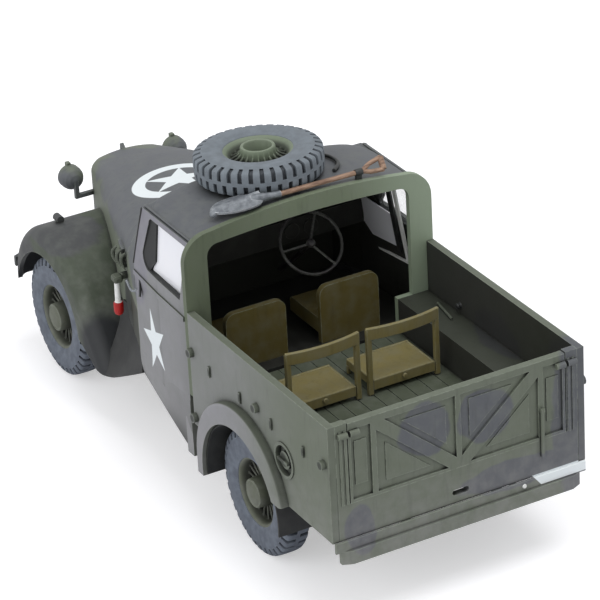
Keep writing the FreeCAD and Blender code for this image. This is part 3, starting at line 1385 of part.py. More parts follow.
# Engine, gearbox and propeller shaft, seen from below
engine_rear = bonnet_rear + s.engine_gap
engine_front = engine_rear + s.engine_length
sump = rail_foot - s.rail_height
engine = block("engine", (engine_rear, engine_front), (-s.engine_half_width, s.engine_half_width), (sump, s.engine_top))
mounts = block("engine_mounts", (engine_rear, engine_rear + s.cross_width), (-s.rail_offset, s.rail_offset),
               (rail_foot, rail_foot + s.cross_width))
gearbox = block("gearbox", (bonnet_rear, engine_rear + s.sink), (-s.gearbox_half_width, s.gearbox_half_width),
                (rail_foot - s.cross_width, rail_top))
shaft_z = rail_foot - s.cross_width / 2
shaft = slanted_bar("propeller_shaft", (bonnet_rear + s.sink, Size(0, "0"), shaft_z),
                    (rear_axle_x, Size(0, "0"), hub_height), s.pipe_radius)
node(fused("driveline", [engine, mounts, gearbox, cut("shaft_end", shaft, casing)]), "driveline")

# Exhaust along the right side
exhaust_y = -(s.rail_offset + s.rail_width + s.silencer_radius)
exhaust_z = sump + s.pipe_radius
bend_x = engine_rear + s.pipe_radius * 2
pipe_across = round_bar("pipe_across", "y", s.pipe_radius, exhaust_y, -s.engine_half_width, (bend_x, exhaust_z))
pipe_bend = ball("pipe_bend", s.pipe_radius * 1.2, bend_x, exhaust_y, exhaust_z)
pipe_along = round_bar("pipe_along", "x", s.pipe_radius, bed_rear, bend_x, (exhaust_y, exhaust_z))
silencer = round_bar("silencer", "x", s.silencer_radius, bed_front, bed_front + s.silencer_length, (exhaust_y, exhaust_z))
exhaust_parts = [pipe_across, pipe_bend, pipe_along, silencer]
hanger_y = (exhaust_y - s.pipe_radius, exhaust_y + s.pipe_radius)
for x in ((bed_rear + rear_axle_x) / 2, bed_front + s.pipe_radius):
    exhaust_parts.append(block("pipe_hanger", (x, x + s.pipe_radius * 2), hanger_y, (exhaust_z, rail_top)))
node(fused("exhaust", exhaust_parts), "exhaust")

# Fuel tank between the rails
tank_rear = rail_rear + s.cross_width * 2
tank_half = s.rail_offset - s.tank_clearance
node(block("fuel_tank", (tank_rear, tank_rear + s.tank_length), (-tank_half, tank_half), (rail_foot - s.cross_width, rail_top)), "fuel_tank")

# Spare wheel flat on the roof, which falls towards the windscreen
roof_run = roof_front - cab_rear
spare_x = cab_rear + s.spare_place
spare_z = s.hoop_top - s.roof_fall * s.spare_place / roof_run + half_tyre + s.spare_gap
fall_turn = math.degrees(math.atan2(s.roof_fall, roof_run))
lying = FreeCAD.Rotation(ALONG_Y, fall_turn).multiply(FreeCAD.Rotation(ALONG_X, 90))
node(placed("spare_tyre", tyre, spare_x, s.spare_offset, spare_z, lying), "spare_tyre")
node(placed("spare_rim", open_rim, spare_x, s.spare_offset, spare_z, lying), "spare_rim")

# Width marker hanging beside the scuttle
marker_x = cab_front + s.marker_place
marker_spot = (marker_x, s.marker_offset)
half_box = s.marker_box / 2
marker_parts = [round_bar("marker_rod", "z", s.marker_radius, s.marker_foot, s.marker_height + s.sink, marker_spot)]
marker_parts.append(round_bar("marker_tip", "z", s.marker_tip_radius, s.marker_foot, s.marker_foot + s.marker_tip_height, marker_spot))
bracket = block("marker_bracket", (marker_x - half_box, marker_x + half_box), (0, s.marker_offset + half_box),
                (s.marker_height, s.marker_height + s.marker_box))
node(fused("width_marker", marker_parts + [cut("marker_bracket_end", bracket, bay)]), "width_marker")

# Shovel along the rear edge of the roof
shovel_z = s.hoop_top + s.shovel_shaft
shovel_x = bed_front + s.hoop_depth
half_shovel = s.shovel_length / 2
blade_y = half_shovel - s.blade_length
shovel_parts = [round_bar("shovel_shaft", "y", s.shovel_shaft, -half_shovel, blade_y + s.blade_thickness * 2, (shovel_x, shovel_z))]
blade_foot = shovel_z - s.shovel_shaft
blade_outline = [(blade_y, blade_foot), (half_shovel - s.shovel_shaft, blade_foot), (half_shovel, blade_foot + s.blade_width / 3)]
blade_outline += [(half_shovel - s.shovel_shaft, blade_foot + s.blade_width * 0.7), (blade_y + s.blade_length * 0.55, blade_foot + s.blade_width)]
blade_outline.append((blade_y + s.blade_thickness, blade_foot + s.blade_width * 0.8))
blade_solid = new_body("blade_outline_solid")
pad(blade_solid, "across", shovel_x - s.blade_width, shovel_x + s.blade_width, blade_outline)
dish = new_body("blade_bend")
bend_low = blade_foot
bend_high = blade_foot + s.blade_width
bend = arc_radius(s.blade_width / 2, s.blade_thickness)
dish_line = [(shovel_x, bend_low), (shovel_x + s.blade_thickness, bend_low, bend)]
dish_line += [(shovel_x + s.blade_thickness, bend_high), (shovel_x, bend_high, -bend)]
pad(dish, "side", blade_y, half_shovel, dish_line)
shovel_parts.append(common("shovel_blade", [blade_solid, dish]))
shovel_parts.append(round_bar("shovel_grip", "z", s.shovel_shaft, shovel_z - s.grip_length / 2 + s.shovel_shaft,
                              shovel_z + s.grip_length / 2 + s.shovel_shaft, (shovel_x, -half_shovel)))
node(fused("shovel", shovel_parts), "shovel")

doc.recompute()
for thing in doc.Objects:
    if "Invalid" in thing.State or "Error" in thing.State:
        raise RuntimeError("not computed: " + thing.Label)
for piece in nodes:
    if piece.Shape.isNull() or not piece.Shape.isValid():
        raise RuntimeError("bad shape: " + piece.Label)
    piece.Shape.exportStep("parts/%s.step" % piece.Label)
    print(piece.Label, len(piece.Shape.Solids), round(piece.Shape.Volume, 2))
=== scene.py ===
# %% [markdown]
# # A painted scale model of a light utility car
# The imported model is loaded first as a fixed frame. Every later piece is laid
# over it in the same place, so nothing has to be fitted by eye: +X is the
# nose, +Y the left side, +Z is up. Blender works in metres, but the numbers
# below are millimetres, and MM turns them into metres where a mesh is made.

# %% Load the frame
import math

import bpy
import numpy as np
from mathutils import Matrix


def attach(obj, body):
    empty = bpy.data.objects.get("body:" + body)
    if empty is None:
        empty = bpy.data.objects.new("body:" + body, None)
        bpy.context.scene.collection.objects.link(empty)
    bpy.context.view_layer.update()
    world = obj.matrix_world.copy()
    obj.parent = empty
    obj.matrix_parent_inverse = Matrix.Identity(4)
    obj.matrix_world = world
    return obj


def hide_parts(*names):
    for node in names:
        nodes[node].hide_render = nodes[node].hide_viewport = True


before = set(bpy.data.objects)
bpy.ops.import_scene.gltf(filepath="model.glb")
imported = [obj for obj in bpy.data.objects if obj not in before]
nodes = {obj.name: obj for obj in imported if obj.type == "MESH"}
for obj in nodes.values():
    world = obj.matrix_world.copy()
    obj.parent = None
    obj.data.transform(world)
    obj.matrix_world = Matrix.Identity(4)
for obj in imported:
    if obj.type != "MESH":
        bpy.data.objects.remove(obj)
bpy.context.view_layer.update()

MM = 0.001
HANDS = ((1, "left"), (-1, "right"))

# %% [markdown]
# ## The camera
# A product photographer stands well back with a long lens, so that a small
# model doesn't look stretched. The place and the turn of this camera were
# worked out from straight edges of the model in the picture. A tracking
# constraint could aim it, but a matrix keeps its slight roll as well.

# %% Camera
CAMERA_AT = np.array([-445.784, 231.317, 287.428])
AZIMUTH, ELEVATION, ROLL = (math.radians(a) for a in (242.155, 27.681, -3.199))
FOCAL_LENGTH, SENSOR_WIDTH = 217.3, 36
NEAREST, FARTHEST = 0.01, 20


def unit(arrow):
    """An arrow, or each arrow of an array, divided by its own length."""
    return arrow / np.linalg.norm(arrow, axis=-1, keepdims=True)


def stand(thing, right, up, back, at=(0, 0, 0)):
    """Puts a camera or lamp in place: its directions and its spot are a matrix's columns."""
    columns = np.column_stack([right, up, back, at])
    thing.matrix_world = Matrix([[*map(float, row)] for row in columns] + [[0, 0, 0, 1]])


back = np.array([math.sin(AZIMUTH) * math.cos(ELEVATION),
                 -math.cos(AZIMUTH) * math.cos(ELEVATION),
                 math.sin(ELEVATION)])
level = unit(np.cross(-back, [0, 0, 1]))
upright = np.cross(level, -back)
lens = bpy.data.cameras.new("photo_camera")
lens.lens, lens.sensor_width = FOCAL_LENGTH, SENSOR_WIDTH
lens.clip_start, lens.clip_end = NEAREST, FARTHEST
camera = bpy.data.objects.new("photo_camera", lens)
stand(camera, math.cos(ROLL) * level + math.sin(ROLL) * upright,
      math.cos(ROLL) * upright - math.sin(ROLL) * level, back, CAMERA_AT * MM)
scene = bpy.context.scene
scene.collection.objects.link(camera)
scene.camera = camera
scene.view_settings.view_transform = "Standard"
print("camera", [round(v, 4) for v in camera.matrix_world.translation])

# %% [markdown]
# ## Shader maths as plain sums
# A painted finish is a recipe of masks: where dust lies, where an edge is
# rubbed. Wiring each sum by hand is slow to read, so one small class wraps a
# socket and lets Python's own signs add the Math nodes. A second class holds a
# node tree, and its one method makes every other kind of node.

# %% Sockets that can be added and multiplied
class Wire:
    """One output socket; each sign written between two wires adds a Math node."""

    def __init__(self, tree, socket):
        self.tree, self.socket = tree, socket

    def math(self, operation, *others, clamp=False):
        """This value and the others through one Math node."""
        return self.tree.node("ShaderNodeMath", {"operation": operation, "use_clamp": clamp},
                              dict(enumerate((self, *others))))

    def __add__(self, other):
        return self.math("ADD", other)

    def __sub__(self, other):
        return self.math("SUBTRACT", other)

    def __rsub__(self, other):
        return self.tree.node("ShaderNodeMath", {"operation": "SUBTRACT"}, {0: other, 1: self})

    def __mul__(self, other):
        return self.math("MULTIPLY", other)

    __radd__, __rmul__ = __add__, __mul__

    def ramp(self, low, high):
        """0 at low, 1 at high, with a soft start and end between them."""
        return self.tree.node("ShaderNodeMapRange", {"interpolation_type": "SMOOTHSTEP"},
                              {"Value": self, "From Min": low, "From Max": high})

    def inside(self):
        """1 where this distance in mm is above 0, else 0, with an edge a twelfth of a mm wide."""
        return (self * 12).math("ADD", 0.5, clamp=True)

    def either(self, other):
        """The larger of two masks."""
        return self.math("MAXIMUM", other)


class Tree:
    """A node tree and the one method that adds nodes to it."""

    def __init__(self, tree):
        self.tree = tree

    def node(self, kind, settings=None, sockets=None, out=0):
        """Any node: its settings first, then the values or wires of its sockets."""
        made = self.tree.nodes.new(kind)
        for key, value in (settings or {}).items():
            setattr(made, key, value)
        for key, value in (sockets or {}).items():
            self.fill(made, key, value)
        return Wire(self, made.outputs[out])

    def fill(self, node, key, value):
        """Gives a socket of a node its value, or leads a wire to it."""
        if isinstance(value, Wire):
            self.tree.links.new(value.socket, node.inputs[key])
        else:
            node.inputs[key].default_value = value

    def own(self, kind):
        """The node of a kind that the tree already has, such as its shader or its output."""
        return next(n for n in self.tree.nodes if n.type == kind)


print("signs and nodes ready")

# %% [markdown]
# ## A material in the making
# The paints, the rubber and the wood all ask the same few things of a surface:
# where a point is, how cloudy the coat is there, whether it lies in a corner or
# on an edge. Image textures could hold the answers, but they stretch and they
# end at a seam. These answers are worked out from the point's own place, in mm.

# %% Questions a paint asks of the surface
class Paint(Tree):
    """A material in the making: its nodes and its one main shader."""

    def __init__(self, name, **constants):
        self.material = bpy.data.materials.new(name)
        self.material.use_nodes = True
        super().__init__(self.material.node_tree)
        self.shader = self.own("BSDF_PRINCIPLED")
        for key, value in constants.items():
            self.feed(key, value)
        place = self.node("ShaderNodeTexCoord", out="Object")
        self.place = self.node("ShaderNodeVectorMath", {"operation": "SCALE"},
                               {0: place, "Scale": 1 / MM})
        self.x, self.y, self.z = (self.part(self.place, axis) for axis in "XYZ")

    def feed(self, key, value):
        """Gives a socket of the main shader its value or its wire."""
        self.fill(self.shader, key, value)

    def part(self, arrow, axis):
        """One of the three numbers of a place or a direction."""
        return self.node("ShaderNodeSeparateXYZ", {}, {0: arrow}, out=axis)

    def facing(self, axis):
        """How much the surface faces along an axis, from -1 to 1."""
        return self.part(self.node("ShaderNodeNewGeometry", out="Normal"), axis)

    def sunk(self):
        """The depth from 0 to 1 that is stored on each point of a tyre or a wheel."""
        return self.node("ShaderNodeAttribute", {"attribute_name": "deep"}, out="Fac")

    def noise(self, size, detail=2.0, rough=0.5, stretch=None):
        """Cloudy noise from 0 to 1 whose blobs are about size mm wide."""
        place = self.place
        if stretch:
            place = self.node("ShaderNodeVectorMath", {"operation": "MULTIPLY"},
                              {0: place, 1: stretch})
        return self.node("ShaderNodeTexNoise", {},
                         {"Vector": place, "Scale": 1 / size, "Detail": detail,
                          "Roughness": rough})

    def mix(self, share, first, second):
        """Two colours mixed by a share from 0 to 1."""
        return self.node("ShaderNodeMix", {"data_type": "RGBA"},
                         {0: share, 6: first, 7: second}, out=2)

    def near(self, centre, radii):
        """Distance from a point, counted in the given radii: 1 is an ellipsoid's skin."""
        off = self.node("ShaderNodeVectorMath", {"operation": "SUBTRACT"},
                        {0: self.place, 1: centre})
        share = self.node("ShaderNodeVectorMath", {"operation": "DIVIDE"}, {0: off, 1: radii})
        return self.node("ShaderNodeVectorMath", {"operation": "LENGTH"}, {0: share}, out="Value")

    def hollow(self, reach, low, high):
        """1 deep in a corner or groove, where light is shut out within reach mm, 0 in the open."""
        open_share = self.node("ShaderNodeAmbientOcclusion", {"samples": 8},
                               {"Distance": reach * MM}, out="AO")
        return (1 - open_share).ramp(low, high)

    def edge(self, width):
        """1 on a sharp outer edge: where a rounded normal leaves the flat one."""
        soft = self.node("ShaderNodeBevel", {"samples": 4}, {"Radius": width * MM})
        flat = self.node("ShaderNodeNewGeometry", out="Normal")
        along = self.node("ShaderNodeVectorMath", {"operation": "DOT_PRODUCT"},
                          {0: soft, 1: flat}, out="Value")
        return (1 - along).ramp(0.02, 0.22)

    def bump(self, height, strength=0.3, distance=0.05):
        """Small relief, distance mm deep, that bends the light only."""
        self.feed("Normal", self.node("ShaderNodeBump", {},
                                      {"Height": height, "Strength": strength,
                                       "Distance": distance * MM}))


def tint(red, green, blue):
    """A colour as a picture program writes it, turned into the linear one that light uses."""
    def linear(c):
        c /= 255
        return c / 12.92 if c <= 0.04045 else ((c + 0.055) / 1.055) ** 2.4
    return (linear(red), linear(green), linear(blue), 1.0)


print("mid grey in linear light", round(tint(128, 128, 128)[0], 3))

# %% [markdown]
# ## Colours of the paint, and where they lie
# A model builder airbrushes the base green and sprays soft patches of slate over
# it, and dark patches of painted shade go under the front wings and the nose. The
# patches could be drawn on each part, but a patch runs on from panel to panel, so
# each is an ellipsoid in the model's own space.

# %% Colours and patches
GREEN = tint(97, 104, 90)
SLATE = tint(84, 87, 92)
BLOOM = tint(122, 126, 118)
# A pale painted sheen for walls that face sideways.
FLANK_SHEEN = tint(154, 152, 162)
DUST = tint(150, 149, 150)
# Worn pale paint on edges, also a painted highlight.
RUBBED_AND_LIT = tint(158, 166, 152)
# A model wash, which also serves as painted shade in corners and on level tops.
WASH_AND_SHADE = tint(26, 27, 25)
# Painted shade, for the patches under and behind the front wings.
WING_SHADE = tint(24, 27, 31)
# Dirt and painted shade round the bed's fittings.
DIRT_AND_SHADE = tint(32, 36, 30)
# Painted shade for walls that face the car's inside.
INNER_SHADE = tint(17, 18, 10)
# Painted shade down in a wheel's gaps and dish.
GAP_SHADE = tint(12, 14, 9)
WHITE = tint(233, 240, 243)


def both_sides(*patches):
    """Each patch and its mirror image; a patch is a centre and three radii in mm."""
    return [((x, side * y, z), radii) for (x, y, z), radii in patches for side, hand in HANDS]


PATCHES = [((22, 0, 40), (46, 26, 12.5)), ((-2, 0, 47), (15, 30, 9)),
           *both_sides(((52, 18, 20), (9, 12, 12)), ((40, 20, 27), (12, 8, 4))),
           ((-55, 5.6, 28.5), (5, 4.4, 4.6)), ((-55, -4.6, 27.6), (5, 4.8, 4.4)),
           ((-55, -20.5, 22), (9, 4.6, 14)), ((-55, -9, 16.6), (4, 9.5, 2.4)),
           ((-55, 17, 16), (4, 2.6, 4)), ((-33, -23, 24), (8, 5, 7)), ((8, 21, 34), (6, 5, 7))]
# Painted shade under and behind the front wings and under the nose, on both sides.
WING_SHADE_PATCHES = both_sides(((19, 21, 12), (9, 8, 8.5)), ((17.2, 18.4, 19), (5.0, 3.6, 9.5)),
                          ((53, 14, 12), (7, 14, 8)))
# Dirt and painted shade round what sticks out of the bed's sides.
KNOB, CLEAT, FILLER = (1.25, 30, 1.25), (0.55, 30, 1.4), (2.1, 30, 2.1)
FITTINGS = [((-53.3, 0, 27.4), KNOB), ((-33.4, 0, 27.4), KNOB), ((-13, 0, 16.2), KNOB),
            ((-13, 0, 27.4), KNOB), ((-47.4, 0, 26.7), CLEAT), ((-37.8, 0, 26.7), CLEAT),
            ((-28.3, 0, 26.7), CLEAT), ((-18.7, 0, 26.7), CLEAT), ((-40.7, 0, 22.2), FILLER)]
print("patches", len(PATCHES), "soot", len(WING_SHADE_PATCHES), "dirt", len(FITTINGS))

# %% [markdown]
# ## The painted body
# Over the patches the builder runs a thin dark wash into the corners, dusts the
# lower half, and drags a nearly dry pale brush over the edges. The dark corners
# are painted shade as well as wash, the pale edges are a painted highlight as
# well as wear, walls that face inside get painted shade, walls that face
# sideways get a painted sheen and level tops painted shade. Each of those steps
# is one mask here, and the layers go on in the order of the workbench, because a
# wash under the dust would turn pale.

# %% Layers of weathered paint, with painted light and shade
BODY_OUTSIDE = 21.45          # past this the bed's side is its outer face
DUST_TOP, DUST_FADE = 25.0, 14.0


def patch(paint, centre, radii, ragged, fade):
    """1 within an ellipsoid with a ragged edge, falling to 0 over fade times its radius."""
    return (1.06 - (paint.near(centre, radii) + ragged)).ramp(0.0, fade)


def slated(paint, colour, patches, ragged, slate):
    """The largest of all the patches' masks mixes the slate in."""
    mask = None
    for centre, radii in patches:
        here = patch(paint, centre, radii, ragged, 0.14)
        mask = mask.either(here) if mask else here
    return paint.mix(mask, colour, slate) if mask else colour


def lit_by_facing(paint, colour, cloud, facing_light):
    """Painted sheen on walls that face sideways, towards the nose; painted shade on level tops."""
    flank = paint.facing("Y").math("ABSOLUTE").ramp(0.3, 0.7)
    forward = (paint.x + 48.0).ramp(0.0, 26.0) * (cloud * 0.5 + 0.7)
    colour = paint.mix(flank * forward * facing_light, colour, FLANK_SHEEN)
    return paint.mix((1.0 - flank) * facing_light * facing_light, colour, WASH_AND_SHADE)


def dirt_and_shade_rings(paint, colour, spots):
    """A dark ring round each fitting, on the outer face only: dirt and painted shade."""
    for centre, radii in spots:
        outside = (paint.y.math("ABSOLUTE") - BODY_OUTSIDE).ramp(0.0, 0.1)
        ring = (1.0 - paint.near(centre, radii)).ramp(0.0, 0.2)
        colour = paint.mix(ring * outside * 0.85, colour, DIRT_AND_SHADE)
    return colour


def shaded_inside(paint):
    """1 on walls that face the car's inside, on the cowl's rear and below the bed's shelf: painted
    shade.
    """
    inward = paint.facing("Y") * paint.y
    behind = paint.facing("X") * (paint.x - 5)
    cowl = (-0.3 - behind).ramp(0.0, 0.8) * (paint.x + 11.5).ramp(0.0, 0.3)
    shelf = (25.4 - paint.z).ramp(0.0, 0.1) * (20.6 - paint.y.math("ABSOLUTE")).ramp(0.0, 0.2)
    return (-0.5 - inward).ramp(0.0, 1.0).either(cowl).either(shelf * 0.8)


def weathered_and_lit(name, base, patches=(), dust=0.35, wash_and_shade=0.9, edges=0.5, rough=0.62, marks=None,
              inner=0.0, gaps=False, reach=1.2, slate=SLATE, soot=0.85, facing_light=0.0, spots=(),
              bloom=0.22):
    """Each layer mixes in one more colour, by its mask times the number given for it."""
    paint = Paint(name)
    ragged = (paint.noise(5.0, 3) - 0.5) * 0.55
    cloud = paint.noise(2.6, 4, 0.6)
    streak = paint.noise(0.9, 3, 0.6, stretch=(1.0, 1.0, 0.16))
    colour = slated(paint, base, patches, ragged, slate)
    colour = paint.mix(cloud.ramp(0.35, 0.75) * bloom, colour, BLOOM)
    colour = paint.mix(streak.ramp(0.5, 0.78) * 0.2, colour, WASH_AND_SHADE)
    if facing_light:
        colour = lit_by_facing(paint, colour, cloud, facing_light)
    low = (DUST_TOP - paint.z + ragged * 8).ramp(0.0, DUST_FADE)
    colour = paint.mix(low * (cloud.ramp(0.2, 0.7) * 0.7 + 0.3) * dust, colour, DUST)
    # Painted shade: dark patches under and behind the front wings; soot sets their strength.
    for centre, radii in WING_SHADE_PATCHES if patches else ():
        here = patch(paint, centre, radii, ragged * 0.7, 0.38)
        colour = paint.mix(here * soot, colour, WING_SHADE)
    colour = dirt_and_shade_rings(paint, colour, spots)
    # Worn paint on edges, which is also a painted highlight where edges catch the light.
    rubbed = paint.edge(0.22) * paint.noise(0.8, 3).ramp(0.3, 0.6)
    colour = paint.mix(rubbed * edges, colour, RUBBED_AND_LIT)
    # Painted shade together with the wash: corners where light is shut out turn dark.
    colour = paint.mix(paint.hollow(reach, 0.22, 0.68) * wash_and_shade, colour, WASH_AND_SHADE)
    # Painted shade on walls that face inside, on the cowl's rear and below the shelf.
    if inner:
        colour = paint.mix(shaded_inside(paint) * inner, colour, INNER_SHADE)
    # Painted shade down in the gaps of a wheel and in its dish.
    if gaps:
        colour = paint.mix(paint.sunk() * 0.97, colour, GAP_SHADE)
    if marks:
        colour = marks(paint, colour)
    paint.feed("Base Color", colour)
    paint.feed("Roughness", (cloud * 0.16 + (rough - 0.08)) - rubbed * 0.12)
    paint.bump(paint.noise(0.16, 3) * 0.6 + paint.noise(0.7, 2) * 0.4, 0.25)
    return paint.material


print("layers ready")

# %% [markdown]
# ## Markings
# The white star and the ring are printed film laid on the paint. They could be
# thin shells lifted off the surface, but film this thin has no edge that shows,
# so they are masks in the paint itself. A five-pointed star is the ground that
# lies inside at least four of the five lines that join its points.

# %% Star, ring and stripe masks
POINT = math.radians(72)


def star(across, upward, size, turn):
    """1 inside a five-pointed star: at least four of five half-planes hold the point."""
    held = None
    for k in range(5):
        angle = math.radians(turn) + POINT * k
        line = across * math.cos(angle) + upward * math.sin(angle)
        side = (size * math.cos(POINT) - line).inside()
        held = held + side if held else side
    return held.math("SUBTRACT", 3.0, clamp=True)


def chipped(paint, mask, colour):
    """White film over a colour, thinner where it has rubbed off."""
    worn = paint.noise(0.5, 4, 0.7).ramp(0.66, 0.74) * 0.35
    return paint.mix(mask * (0.96 - worn), colour, WHITE)


def bonnet_marks(paint, colour):
    """The ring, between two radii, and the star inside it, on the bonnet's top."""
    across, along = paint.y - 2.6, paint.x - 26.4
    reach = (across * across + along * along).math("SQRT")
    ring = (7.7 - reach).inside() * (reach - 5.5).inside()
    top = (paint.z - 30).ramp(0.0, 0.5)
    return chipped(paint, ring.either(star(across, along, 5.7, 45)) * top, colour)


def door_marks(paint, colour):
    """The plain star on the left door, a little narrower than it is tall."""
    outside = (paint.y - 15).ramp(0.0, 0.2)
    shape = star((paint.x - 0.9) * 1.28, paint.z - 22.85, 5.6, 76)
    return chipped(paint, shape * outside, colour)


def sill_marks(paint, colour):
    """The white stripe on the right end of the rear sill, cut off by four lines."""
    stripe = (-12.4 - paint.y - (14.7 - paint.z) * 0.8).ramp(0.0, 0.1)
    for line in (15.0 - paint.z, paint.z - 13.3, -53.0 - paint.x):
        stripe = stripe * line.ramp(0.0, 0.1)
    return chipped(paint, stripe, colour)


def hoop_shade_and_highlight(paint, colour):
    """Painted shade towards the hoop's left post and a painted highlight towards its right one."""
    colour = paint.mix((paint.y - 2).ramp(0.0, 18.0) * 0.5, colour, tint(62, 70, 52))
    return paint.mix((-4 - paint.y).ramp(0.0, 16.0) * 0.7, colour, tint(150, 165, 144))


print("markings ready")

# %% [markdown]
# ## The mixed paints
# One green would make a toy of the model. The same tin looks chalky on a flank,
# black under a wing and olive on a seat, so each part gets its own mixture of the
# layers above, with painted sheen and painted shade among them and the numbers
# compared side by side with the picture.

# %% Body paints
body_green = weathered_and_lit("body_green", GREEN, PATCHES)
door_green = weathered_and_lit("door_green", GREEN, PATCHES, marks=door_marks, inner=0.95, facing_light=0.55)
dark_door = weathered_and_lit("dark_door", GREEN, PATCHES, inner=0.95, facing_light=0.4)
side_green = weathered_and_lit("side_green", GREEN, PATCHES, inner=0.9, facing_light=0.34, reach=1.4,
                       wash_and_shade=0.95, spots=FITTINGS)
rear_guard = weathered_and_lit("rear_guard", GREEN, PATCHES, facing_light=0.62)
# The front wings take the strongest painted shade under and behind them, by soot=0.97.
front_guard = weathered_and_lit("front_guard", tint(54, 63, 48), PATCHES, slate=tint(58, 60, 62),
                        soot=0.97, dust=0.2)
fittings = weathered_and_lit("fittings", tint(70, 76, 64), wash_and_shade=1.0, reach=1.6)
cowl_green = weathered_and_lit("cowl_green", GREEN, PATCHES, inner=0.97)
gate_green = weathered_and_lit("gate_green", GREEN, PATCHES, wash_and_shade=1.0, reach=0.85, edges=0.6)
shade_green = weathered_and_lit("shade_green", tint(24, 26, 27), dust=0.04, edges=0.12, bloom=0.05)
bonnet_green = weathered_and_lit("bonnet_green", GREEN, PATCHES, marks=bonnet_marks)
sill_green = weathered_and_lit("sill_green", GREEN, PATCHES, marks=sill_marks)
pale_green = weathered_and_lit("pale_green", tint(111, 122, 100), marks=hoop_shade_and_highlight, dust=0.2, wash_and_shade=0.8)
# The cab's floor and dash are nearly black: painted shade inside the cab.
cab_shade = weathered_and_lit("cab_shade", tint(16, 16, 12), dust=0.0, wash_and_shade=1.0, edges=0.2,
                         bloom=0.06)
floor_green = weathered_and_lit("floor_green", tint(72, 79, 64), dust=0.0, wash_and_shade=1.0, edges=0.35)
running_gear = weathered_and_lit("running_gear", tint(56, 58, 52), dust=0.55, wash_and_shade=0.9, edges=0.3)
seat_olive = weathered_and_lit("seat_olive", tint(120, 110, 66), dust=0.0, wash_and_shade=0.95, edges=0.6,
                       reach=0.7)
seat_shade = weathered_and_lit("seat_shade", tint(90, 80, 36), dust=0.0, wash_and_shade=0.9, edges=0.8, reach=0.7)
helm_black = weathered_and_lit("helm_black", tint(42, 38, 42), dust=0.0, wash_and_shade=0.3, edges=1.0, rough=0.4)
wheel_green = weathered_and_lit("wheel_green", tint(78, 84, 64), dust=0.2, wash_and_shade=0.95, edges=0.6,
                        gaps=True)
# The spare faces the sky: this paler copy of the wheels' paint is painted light.
spare_lit_green = weathered_and_lit("spare_lit_green", tint(116, 128, 108), dust=0.0, wash_and_shade=0.95, edges=0.7,
                        gaps=True)
print("paints", len(bpy.data.materials))

# %% [markdown]
# ## Rubber, metal and wood
# The tyres are moulded in one grey plastic, rubbed pale on the lugs, where the
# pale edges are also a painted highlight, with painted shade down in the gaps.
# A number stored on each point of the tyre says how deep it lies, and the paint
# reads it, which a photograph wrapped round the tyre could only copy. The spare
# is paled all over as painted light from above. The shovel's steel and ash are
# brushed on, so they keep the brush's scratches, and get painted shade in their
# hollows.

# %% Rubber, steel and ash
def rubber(name, top_light):
    """Blue-grey, with painted shade down in the gaps and hollows, and lug edges pale as
    wear and painted highlight; the second argument pales all as painted light from above.
    """
    paint = Paint(name)
    cloud = paint.noise(1.6, 4, 0.6)
    colour = paint.mix(cloud.ramp(0.3, 0.75), tint(86, 92, 103), tint(108, 116, 127))
    colour = paint.mix(top_light, colour, tint(150, 160, 160))
    # Pale lug edges as wear and painted highlight, then painted shade in gaps and hollows.
    colour = paint.mix(paint.edge(0.16) * 0.55, colour, tint(140, 148, 156))
    colour = paint.mix(paint.sunk() * 0.75, colour, tint(38, 41, 47))
    colour = paint.mix(paint.hollow(0.8, 0.3, 0.85) * 0.7, colour, tint(28, 30, 34))
    paint.feed("Base Color", colour)
    paint.feed("Roughness", cloud * 0.15 + 0.66)
    paint.bump(paint.noise(0.2, 3))
    return paint.material


def metal():
    """Bare steel painted on: blue-grey, with edges pale as wear and as a painted highlight,
    and painted shade in its seams.
    """
    paint = Paint("steel", Metallic=0.25)
    cloud = paint.noise(1.1, 4, 0.65)
    colour = paint.mix(cloud.ramp(0.3, 0.7), tint(92, 97, 104), tint(132, 137, 142))
    colour = paint.mix(paint.edge(0.2) * 0.8, colour, tint(196, 200, 204))
    colour = paint.mix(paint.hollow(0.7, 0.3, 0.8) * 0.8, colour, tint(40, 42, 46))
    paint.feed("Base Color", colour)
    paint.feed("Roughness", cloud * 0.2 + 0.36)
    paint.bump(paint.noise(0.3, 3))
    return paint.material


def wood():
    """Ash handle: a pinkish brown with long fine grain along Y."""
    paint = Paint("handle_wood")
    grain = paint.noise(0.35, 5, 0.7, stretch=(1.0, 0.12, 1.0))
    colour = paint.mix(grain.ramp(0.3, 0.72), tint(104, 78, 62), tint(170, 140, 118))
    # Painted shade in the hollows of the wood.
    colour = paint.mix(paint.hollow(0.7, 0.35, 0.85) * 0.8, colour, tint(52, 38, 30))
    paint.feed("Base Color", colour)
    paint.feed("Roughness", grain * 0.2 + 0.5)
    paint.bump(grain)
    return paint.material


tyre_grey = rubber("rubber", 0.0)
# The spare's rubber is paled as painted light from above.
spare_lit_grey = rubber("spare_rubber_lit", 0.22)
steel = metal()
ash = wood()
print("rubber, steel and ash:", len(bpy.data.materials), "materials so far")

# %% [markdown]
# ## Glass and small brushed colours
# The windscreen is clear plastic. The side panes mirror the white paper, so they
# are nearly white, and that white is a painted reflection in their colour. True
# glass with its bending of light would cost many light bounces for panes this
# thin, so a low alpha lets the background through instead.

# %% Panes and enamels
def plastic(name, index, cloud_size, colours, clear_by):
    """A glossy pane: two near colours in soft clouds, which also thicken its alpha a little."""
    paint = Paint(name, IOR=index)
    size, detail = cloud_size
    cloud = paint.noise(size, detail)
    (rough_more, rough), (alpha_more, alpha) = clear_by
    paint.feed("Base Color", paint.mix(cloud, *colours))
    paint.feed("Roughness", cloud * rough_more + rough)
    paint.feed("Alpha", cloud * alpha_more + alpha)
    return paint.material


